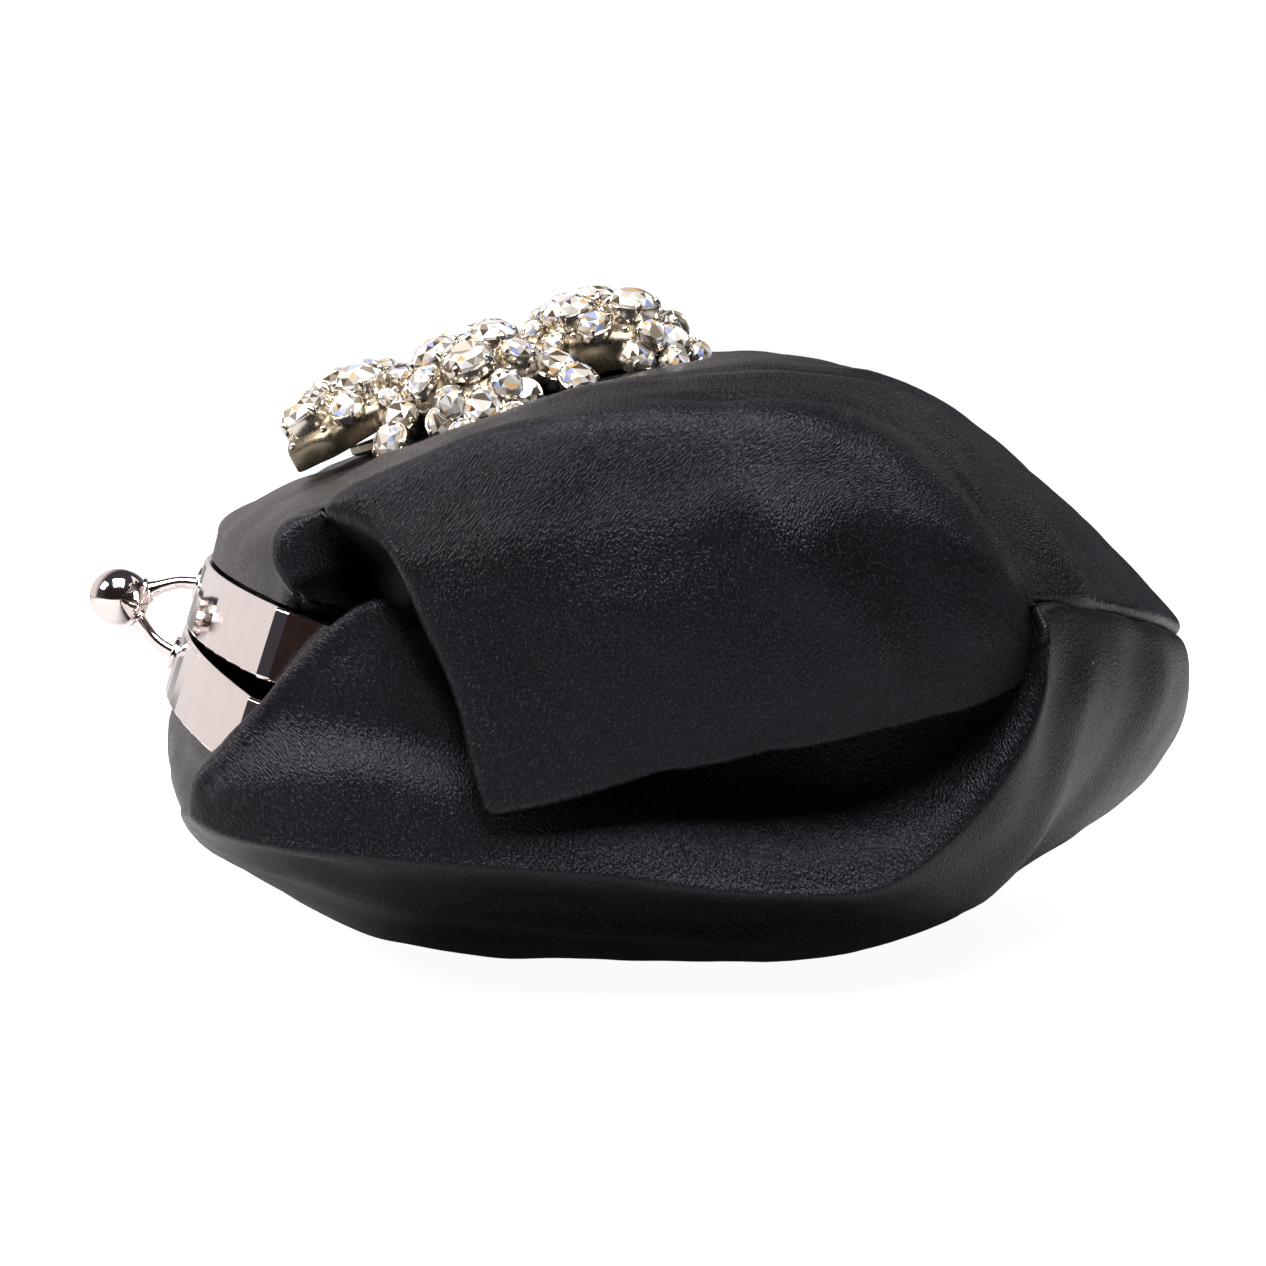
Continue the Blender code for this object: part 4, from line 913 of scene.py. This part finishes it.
def neck_grid(side):
    """The strip of lining from a channel down to the lining bag's mouth, gathered at the channel."""
    reach = 52.0
    centre_y, centre_z, half_width, half_height, lean = LINING_RINGS[0]
    rows = []
    for k in range(49):
        x = reach * (k / 24 - 1)
        depth = arch_depth(x) + CHANNEL_DEPTH + 1.2
        offset = side * (closing_offset(x) + CHANNEL_WIDTH * 0.5)
        start = FRAME_CROWN + Vector((x, 0, 0)) + INTO_BAG * depth + TO_FRONT * offset
        share = (1 - (abs(x) / half_width) ** LINING_ROUNDNESS) ** (1 / LINING_ROUNDNESS)
        up = side * half_height * share
        tilt = math.radians(lean)
        end = Vector((x, centre_y + up * math.sin(tilt), centre_z + up * math.cos(tilt)))
        end -= INTO_BAG * 1.6
        gather = 0.7 * math.sin(k * 1.9)
        middle = (start + end) / 2 + TO_FRONT * side * (4.0 + gather)
        rows.append(smooth_curve([start, middle, end], 8))
    return rows if side < 0 else [list(row) for row in reversed(rows)]


# ---------------------------------------------------------------- kiss-lock
def frame_place(x, y, z):
    """A point in the frame's own directions from its hinge axis, in metres in the bag's space."""
    hinge = FRAME_CROWN + INTO_BAG * (ARCH_RISE + FRAME_LEG_LENGTH)
    return (hinge + Vector((x, 0, 0)) + INTO_BAG * y + TO_FRONT * z) * MM


def make_clasp(nickel):
    crown = ARCH_RISE + FRAME_LEG_LENGTH
    for side, label, body in ((1, "front", "front_half"), (-1, "rear", "pouch")):
        x = -side * (BALL_RADIUS + 0.15)
        centre = frame_place(x, -crown - BALL_HEIGHT, -side * BALL_LEAN)
        root_z = side * (closing_offset(x) + CHANNEL_WIDTH * 0.5)
        bend = frame_place(x, arch_depth(x) - crown - 0.33 * BALL_HEIGHT, root_z * 0.82)
        root = frame_place(x, arch_depth(x) - crown - 0.3, root_z)
        outward = (centre - bend).normalized()
        deselect()
        bpy.ops.mesh.primitive_uv_sphere_add(segments=48, ring_count=24, radius=BALL_RADIUS * MM)
        ball = named(f"clasp_ball_{label}", nickel)
        bpy.ops.object.shade_smooth()
        bpy.ops.mesh.primitive_torus_add(
            major_segments=32, minor_segments=10, major_radius=1.35 * MM, minor_radius=0.42 * MM
        )
        collar = named(f"collar_{label}", nickel)
        bpy.ops.object.shade_smooth()
        collar.data.transform(Matrix.Translation((0, 0, -0.955 * BALL_RADIUS * MM)))
        ball = joined(f"clasp_ball_{label}", [ball, collar])
        turn = outward.to_track_quat("Z", "X").to_matrix().to_4x4()
        ball.data.transform(Matrix.Translation(centre) @ turn)
        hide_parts(f"{label}_clasp_ball")
        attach(ball, body)
        tip = centre - outward * (BALL_RADIUS + 0.1) * MM
        stem = make_stem(label, [root, bend, tip], nickel)
        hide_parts(f"{label}_clasp_stem")
        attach(stem, body)


def make_stem(label, points, nickel):
    """A round wire swept along its bend, flared at the ball, on a flat oval foot with rounded edges."""
    route = smooth_curve(points, 12)
    deselect()
    bpy.ops.mesh.primitive_circle_add(vertices=20, radius=STEM_RADIUS * MM, fill_type="NOTHING")
    wire = named(f"clasp_stem_{label}", nickel)
    ring = [v.co.copy() for v in wire.data.vertices]
    shape = bmesh.new()
    rings = []
    for i, point in enumerate(route):
        ahead = (route[min(i + 1, len(route) - 1)] - route[max(i - 1, 0)]).normalized()
        turn = ahead.to_track_quat("Z", "X").to_matrix()
        flare = 1.0 + 0.45 * (i / (len(route) - 1)) ** 5
        rings.append([shape.verts.new(point + turn @ (c * flare)) for c in ring])
    for low, high in zip(rings, rings[1:]):
        for k in range(len(ring)):
            n = (k + 1) % len(ring)
            shape.faces.new((low[k], low[n], high[n], high[k]))
    shape.faces.new(list(reversed(rings[0])))
    shape.faces.new(rings[-1])
    bmesh.ops.recalc_face_normals(shape, faces=shape.faces)
    shape.to_mesh(wire.data)
    shape.free()
    smooth(wire, 50)
    deselect()
    bpy.ops.mesh.primitive_cylinder_add(vertices=40, radius=1.0, depth=1.0)
    foot = named(f"clasp_foot_{label}", nickel)
    bpy.ops.object.mode_set(mode="EDIT")
    bpy.ops.mesh.select_all(action="SELECT")
    bpy.ops.transform.resize(value=(3.2 * MM, 2.3 * MM, 0.7 * MM))
    bpy.ops.object.mode_set(mode="OBJECT")
    edge = foot.modifiers.new("edge", "BEVEL")
    edge.width = 0.25 * MM
    edge.segments = 3
    apply_modifiers(foot)
    smooth(foot, 40)
    up = -INTO_BAG
    turn = Matrix((Vector((1, 0, 0)), up.cross(Vector((1, 0, 0))), up)).transposed().to_4x4()
    foot.data.transform(Matrix.Translation(points[0] - up * 0.05 * MM) @ turn)
    return joined(f"clasp_stem_{label}", [wire, foot])


# ---------------------------------------------------------------- ornament
def ornament_frame():
    """The place of the ornament's base: its middle, and its normal as the third axis."""
    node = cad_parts["ornament_base"]
    low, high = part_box("ornament_base")
    flat = max(node.data.polygons, key=lambda face: face.normal.z * face.area)
    along = Vector((1, 0, 0)).cross(flat.normal) * -1
    turn = Matrix((Vector((1, 0, 0)), -along, flat.normal)).transposed().to_4x4()
    middle = (low + high) / 2 - flat.normal * ORNAMENT_BASE_THICKNESS / 2 * MM
    return Matrix.Translation(middle) @ turn


def petal_place(index):
    angle = 2 * math.pi * index / PETAL_COUNT
    lift = Matrix.Translation(Vector((PETAL_RING_RADIUS, 0, ORNAMENT_BASE_THICKNESS + 2.4)) * MM)
    return Matrix.Rotation(angle, 4, "Z") @ lift @ Matrix.Rotation(PETAL_SLOPE, 4, "Y")


def dome_seat(size, x, y, air):
    """Where a stone lies on a setting's dome at x, y from its middle, air above it."""
    half = Vector((size.x * DOME_SHARE / 2, size.y * DOME_SHARE / 2, size.z * (1 - RIM_SHARE)))
    lift = math.sqrt(max(0.02, 1 - (x / half.x) ** 2 - (y / half.y) ** 2))
    normal = Vector((x / half.x**2, y / half.y**2, lift / half.z)).normalized()
    place = (Vector((x, y, RIM_SHARE * size.z + half.z * lift)) + normal * air) * MM
    return Matrix.Translation(place) @ normal.to_track_quat("Z", "X").to_matrix().to_4x4()


def make_cut_stone(name, radius, sides, crystal):
    """A brilliant: girdle, slanting crown facets, a turned table and a shallow pavilion below."""
    deselect()
    bpy.ops.mesh.primitive_cylinder_add(vertices=sides, radius=radius, depth=0.12 * radius)
    stone = named(name, crystal)
    bpy.ops.object.mode_set(mode="EDIT")
    bpy.ops.mesh.select_mode(type="FACE")
    for up, levels in ((1, ((0.78, 0.26), (0.52, 0.16))), (-1, ((0.35, 0.30),))):
        for share, rise in levels:
            cap_face(stone, up)
            bpy.ops.mesh.extrude_region_move(
                TRANSFORM_OT_translate={"value": (0, 0, up * rise * radius)}
            )
            size = share if share > 0.6 or up < 0 else share / 0.78
            bpy.ops.transform.resize(value=(size, size, 1.0))
            if up > 0:
                turn_selected(stone, math.pi / sides)
    bpy.ops.mesh.select_all(action="SELECT")
    bpy.ops.mesh.quads_convert_to_tris()
    bpy.ops.object.mode_set(mode="OBJECT")
    for face in stone.data.polygons:
        face.use_smooth = False
    return stone


def lit(stone):
    """Gives each facet of a stone a random value that picks its painted reflection colour, from painted
    shade to painted highlight.
    """
    painted_facet_light = stone.data.attributes.new("painted_facet_light", "FLOAT", "FACE")
    for value in painted_facet_light.data:
        value.value = dice.random()
    return stone


def cap_face(obj, up):
    """Selects the face that looks furthest up or down."""
    mesh = bmesh.from_edit_mesh(obj.data)
    bpy.ops.mesh.select_all(action="DESELECT")
    cap = max(mesh.faces, key=lambda face: (round(up * face.calc_center_median().z, 7), face.calc_area()))
    cap.select = True
    bmesh.update_edit_mesh(obj.data)


def turn_selected(obj, angle):
    mesh = bmesh.from_edit_mesh(obj.data)
    spin = Matrix.Rotation(angle, 4, "Z")
    for vert in mesh.verts:
        if vert.select:
            vert.co = spin @ vert.co
    bmesh.update_edit_mesh(obj.data)


def make_collet(name, radius, claws, silver):
    """A cup with a rolled lip and small round claws that hold a stone of this radius."""
    deselect()
    bpy.ops.mesh.primitive_cylinder_add(vertices=28, radius=radius * 1.1, depth=0.75 * radius)
    cup = named(name, silver)
    bpy.ops.object.mode_set(mode="EDIT")
    bpy.ops.mesh.select_mode(type="FACE")
    cap_face(cup, 1)
    bpy.ops.mesh.inset(thickness=0.12 * radius)
    bpy.ops.mesh.extrude_region_move(TRANSFORM_OT_translate={"value": (0, 0, -0.5 * radius)})
    bpy.ops.transform.resize(value=(0.6, 0.6, 1.0))
    bpy.ops.object.mode_set(mode="OBJECT")
    edge = cup.modifiers.new("edge", "BEVEL")
    edge.width = 0.05 * radius
    edge.segments = 2
    apply_modifiers(cup)
    smooth(cup, 40)
    parts = [cup]
    for k in range(claws):
        angle = 2 * math.pi * (k + 0.5) / claws
        deselect()
        bpy.ops.mesh.primitive_uv_sphere_add(segments=10, ring_count=6, radius=0.17 * radius)
        claw = named(f"{name}_claw_{k}", silver)
        bpy.ops.object.shade_smooth()
        claw.data.transform(Matrix.Diagonal((1.0, 1.0, 1.9, 1.0)))
        lean = Matrix.Rotation(math.radians(-18), 4, "Y")
        place = Matrix.Rotation(angle, 4, "Z") @ Matrix.Translation((radius * 1.02, 0, 0.34 * radius))
        claw.data.transform(place @ lean)
        parts.append(claw)
    return joined(name, parts)


def make_petal_casting(silver, skirt):
    """A domed casting with a scalloped, rounded rim, hollow behind; skirt is how far its edge turns down."""
    deselect()
    bpy.ops.mesh.primitive_uv_sphere_add(segments=64, ring_count=24, radius=1.0)
    dome = named("petal_casting", silver)
    bpy.ops.object.mode_set(mode="EDIT")
    bpy.ops.mesh.select_all(action="SELECT")
    bpy.ops.mesh.bisect(
        plane_co=(0, 0, 0), plane_no=(0, 0, 1), clear_inner=True, use_fill=False
    )
    bpy.ops.object.mode_set(mode="OBJECT")
    half = Vector((PETAL_SIZE.x / 2, PETAL_SIZE.y / 2, PETAL_SIZE.z * (1 - RIM_SHARE)))
    for vert in dome.data.vertices:
        angle = math.atan2(vert.co.y, vert.co.x)
        edge = 1.0 - 0.035 * (1 - math.cos(8 * angle)) * (1 - vert.co.z) ** 2
        vert.co.x *= half.x * edge
        vert.co.y *= half.y * edge
        vert.co.z = vert.co.z * half.z + RIM_SHARE * PETAL_SIZE.z
    dome.data.transform(Matrix.Scale(MM, 4))
    bpy.ops.object.mode_set(mode="EDIT")
    bpy.ops.mesh.select_all(action="DESELECT")
    bpy.ops.mesh.select_mode(type="EDGE")
    mesh = bmesh.from_edit_mesh(dome.data)
    for line in mesh.edges:
        line.select = line.is_boundary
    bmesh.update_edit_mesh(dome.data)
    drop_rim = -(RIM_SHARE * PETAL_SIZE.z + skirt) * MM
    bpy.ops.mesh.extrude_region_move(TRANSFORM_OT_translate={"value": (0, 0, drop_rim)})
    bpy.ops.mesh.select_all(action="SELECT")
    bpy.ops.mesh.normals_make_consistent(inside=False)
    bpy.ops.object.mode_set(mode="OBJECT")
    wall = dome.modifiers.new("wall", "SOLIDIFY")
    wall.thickness = 0.8 * MM
    wall.offset = -1.0
    edge = dome.modifiers.new("edge", "BEVEL")
    edge.width = 0.2 * MM
    edge.segments = 2
    edge.angle_limit = math.radians(50)
    apply_modifiers(dome)
    smooth(dome, 50)
    return dome


PETAL_STONES = [(5.6, 0.0), (-1.6, 3.6), (-1.6, -3.6)]
# Small stones and metal beads that fill the gaps of a petal: x, y and radius in mm.
PETAL_SMALL_STONES = [(-7.2, 0.0, 2.0), (3.2, 6.0, 2.2), (3.2, -6.0, 2.2), (-6.3, 5.0, 1.7),
                      (-6.3, -5.0, 1.7), (9.6, 3.4, 2.1), (9.6, -3.4, 2.1),
                      (-1.8, 7.8, 1.5), (-1.8, -7.8, 1.5)]
# Single stones that fill the ornament between its petals: distance from its middle, height, how far they
# lean outwards in degrees, radius, and whether they stand between the petals (0.5) or before them (0).
RING_STONES = [(9.6, 5.4, 24, 2.7, 0.5), (15.6, 4.4, 30, 2.8, 0.5), (21.0, 2.6, 42, 2.8, 0.5),
               (25.2, 0.6, 52, 2.5, 0.5), (29.9, 1.2, 62, 2.6, 0.0), (27.8, 1.0, 60, 2.4, 0.18),
               (27.8, 1.0, 60, 2.4, -0.18), (31.6, -1.2, 74, 2.0, 0.1), (31.6, -1.2, 74, 2.0, -0.1)]
# The open frame swings past the ornament's edge, so that edge holds no loose stones.
FRAME_SIDE_PETALS = (1, 2)
OUTER_STONE = 9.0
FRAME_CLEARANCE = 19.5
FRAME_SIDE_SKIRT = 0.9
PETAL_BEADS = [(1.2, 0.0, 0.75), (9.6, 0.0, 0.6), (6.9, 4.7, 0.6), (6.9, -4.7, 0.6),
               (-4.4, 2.0, 0.5), (-4.4, -2.0, 0.5), (-9.4, 2.2, 0.5), (-9.4, -2.2, 0.5),
               (-4.0, 6.9, 0.5), (-4.0, -6.9, 0.5), (0.5, 7.2, 0.5), (0.5, -7.2, 0.5)]


def make_ring_stones(base_place, small_stone, small_collet):
    """The single stones between and before the petals, in two joined pieces."""
    gems, cups = [], []
    for row, (away, height, lean, radius, between) in enumerate(RING_STONES):
        for index in range(PETAL_COUNT):
            if away * math.sin(2 * math.pi * (index + between) / PETAL_COUNT) > FRAME_CLEARANCE:
                continue
            turn = Matrix.Rotation(2 * math.pi * (index + between) / PETAL_COUNT, 4, "Z")
            place = Matrix.Translation(Vector((away, 0, height)) * MM)
            tip = Matrix.Rotation(math.radians(lean), 4, "Y")
            seat = base_place @ turn @ place @ tip @ Matrix.Scale(radius, 4)
            lift = Matrix.Translation((0, 0, 0.42 * MM))
            gems.append(lit(copy_of(small_stone, f"ring_gem_{row}_{index}", seat @ lift)))
            cups.append(copy_of(small_collet, f"ring_cup_{row}_{index}", seat))
    for name, parts, finish in (("ring_stones", gems, "crystal"), ("ring_collets", cups, "setting")):
        piece = joined(name, parts)
        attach(piece, "pouch")


def make_ornament(silver, dark_silver, crystal):
    base_place = ornament_frame()
    big_stone = make_cut_stone("big_stone", STONE_RADIUS * MM, 12, crystal)
    small_stone = make_cut_stone("small_stone", MM, 9, crystal)
    big_collet = make_collet("big_collet", STONE_RADIUS * MM, 4, silver)
    small_collet = make_collet("small_collet", MM, 3, silver)
    casting = make_petal_casting(dark_silver, FRAME_SIDE_SKIRT)
    deep_casting = make_petal_casting(dark_silver, PETAL_SKIRT)
    deselect()
    bpy.ops.mesh.primitive_uv_sphere_add(segments=12, ring_count=8, radius=MM)
    bead = named("bead", silver)
    bpy.ops.object.shade_smooth()
    count = 0
    for index in range(PETAL_COUNT):
        petal = base_place @ petal_place(index)
        by_frame = index in FRAME_SIDE_PETALS
        parts = [copy_of(casting if by_frame else deep_casting, f"petal_body_{index + 1}", petal)]
        small = []
        for x, y in PETAL_STONES:
            count += 1
            seat = petal @ dome_seat(PETAL_SIZE, x, y, 0.3)
            turn = Matrix.Rotation(dice.uniform(0, math.pi), 4, "Z")
            lift = Matrix.Translation((0, 0, 0.42 * STONE_RADIUS * MM))
            stone = lit(copy_of(big_stone, f"crystal_{count:02d}", seat @ lift @ turn))
            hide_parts(f"stone_{count:02d}")
            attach(stone, "pouch")
            parts.append(copy_of(big_collet, f"collet_{count}", seat @ turn))
        for x, y, radius in PETAL_SMALL_STONES:
            if by_frame and x > OUTER_STONE:
                continue
            seat = petal @ dome_seat(PETAL_SIZE, x, y, 0.25)
            grow = Matrix.Scale(radius, 4)
            lift = Matrix.Translation((0, 0, 0.42 * MM))
            small.append(lit(copy_of(small_stone, f"small_{index}_{x}_{y}", seat @ grow @ lift)))
            parts.append(copy_of(small_collet, f"small_collet_{index}_{x}_{y}", seat @ grow))
        for x, y, radius in PETAL_BEADS:
            seat = petal @ dome_seat(PETAL_SIZE, x, y, 0.1)
            parts.append(copy_of(bead, f"bead_{index}_{x}_{y}", seat @ Matrix.Scale(radius, 4)))
        body = joined(f"petal_setting_{index + 1}", parts)
        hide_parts(f"ornament_petal_{index + 1}")
        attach(body, "pouch")
        gems = joined(f"petal_small_stones_{index + 1}", small)
        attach(gems, "pouch")
    make_ring_stones(base_place, small_stone, small_collet)
    middle = base_place @ Matrix.Translation((0, 0, (ORNAMENT_BASE_THICKNESS + 0.3) * MM))
    swell = Matrix.Diagonal(
        (CENTRE_SIZE.x / PETAL_SIZE.x, CENTRE_SIZE.y / PETAL_SIZE.y, CENTRE_SIZE.z / PETAL_SIZE.z, 1.0)
    )
    top = middle @ Matrix.Translation((0, 0, (CENTRE_SIZE.z + 0.1) * MM))
    grow = Matrix.Scale(CENTRE_STONE_RADIUS / STONE_RADIUS, 4)
    parts = [copy_of(casting, "middle_body", middle @ swell)]
    parts.append(copy_of(big_collet, "middle_collet", top @ grow))
    for k in range(10):
        angle = 2 * math.pi * k / 10
        seat = middle @ dome_seat(CENTRE_SIZE, 6.1 * math.cos(angle), 6.1 * math.sin(angle), 0.1)
        parts.append(copy_of(bead, f"middle_bead_{k}", seat @ Matrix.Scale(0.9, 4)))
    body = joined("middle_setting", parts)
    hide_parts("ornament_middle")
    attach(body, "pouch")
    lift = Matrix.Translation((0, 0, 0.42 * STONE_RADIUS * MM))
    stone = lit(copy_of(big_stone, "crystal_middle", top @ grow @ lift))
    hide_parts("stone_middle")
    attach(stone, "pouch")
    drop(big_stone, small_stone, big_collet, small_collet, casting, deep_casting, bead)


# ---------------------------------------------------------------- metal parts kept as they are
def refine(name, finish, width):
    """Gives a kept node its finish, and softens its edges."""
    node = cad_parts[name]
    for slot in node.material_slots:
        slot.material = finish
    weld = node.modifiers.new("weld", "WELD")
    weld.merge_threshold = 0.002 * MM
    if width:
        edge = node.modifiers.new("edge", "BEVEL")
        edge.width = width * MM
        edge.segments = 2
        edge.limit_method = "ANGLE"
        edge.angle_limit = math.radians(30)
        edge.harden_normals = True


def main():
    make_camera()
    make_studio()
    satin = make_satin_finish()
    lining = make_lining_finish()
    nickel = make_metal("polished_nickel", "#e3d9d6", "#f3ebe8", (0.05, 0.1), 0.004)
    silver = make_metal("cast_rhodium_silver", "#c2b9aa", "#efe8dc", (0.16, 0.30), 0.03)
    dark_silver = make_metal("oxidised_silver", "#4d4538", "#8f8472", (0.25, 0.45), 0.06)
    steel = make_metal("zinc_plated_steel", "#8e9094", "#a9abae", (0.3, 0.42), 0.02)
    crystal = make_crystal_finish()
    cord = make_cord_finish()
    make_satin(satin)
    make_lining(lining)
    make_clasp(nickel)
    make_ornament(silver, dark_silver, crystal)
    for name in ("front_frame", "rear_frame"):
        refine(name, nickel, 0.12)
    for name in ("hinge_pin_left", "hinge_pin_right"):
        refine(name, nickel, 0.08)
    for name in ("front_retaining_cord", "rear_retaining_cord"):
        refine(name, cord, 0.0)
    refine("ornament_base", dark_silver, 0.1)
    for name in ("ornament_backing", "ornament_post_left", "ornament_post_right"):
        refine(name, steel, 0.1)


main()
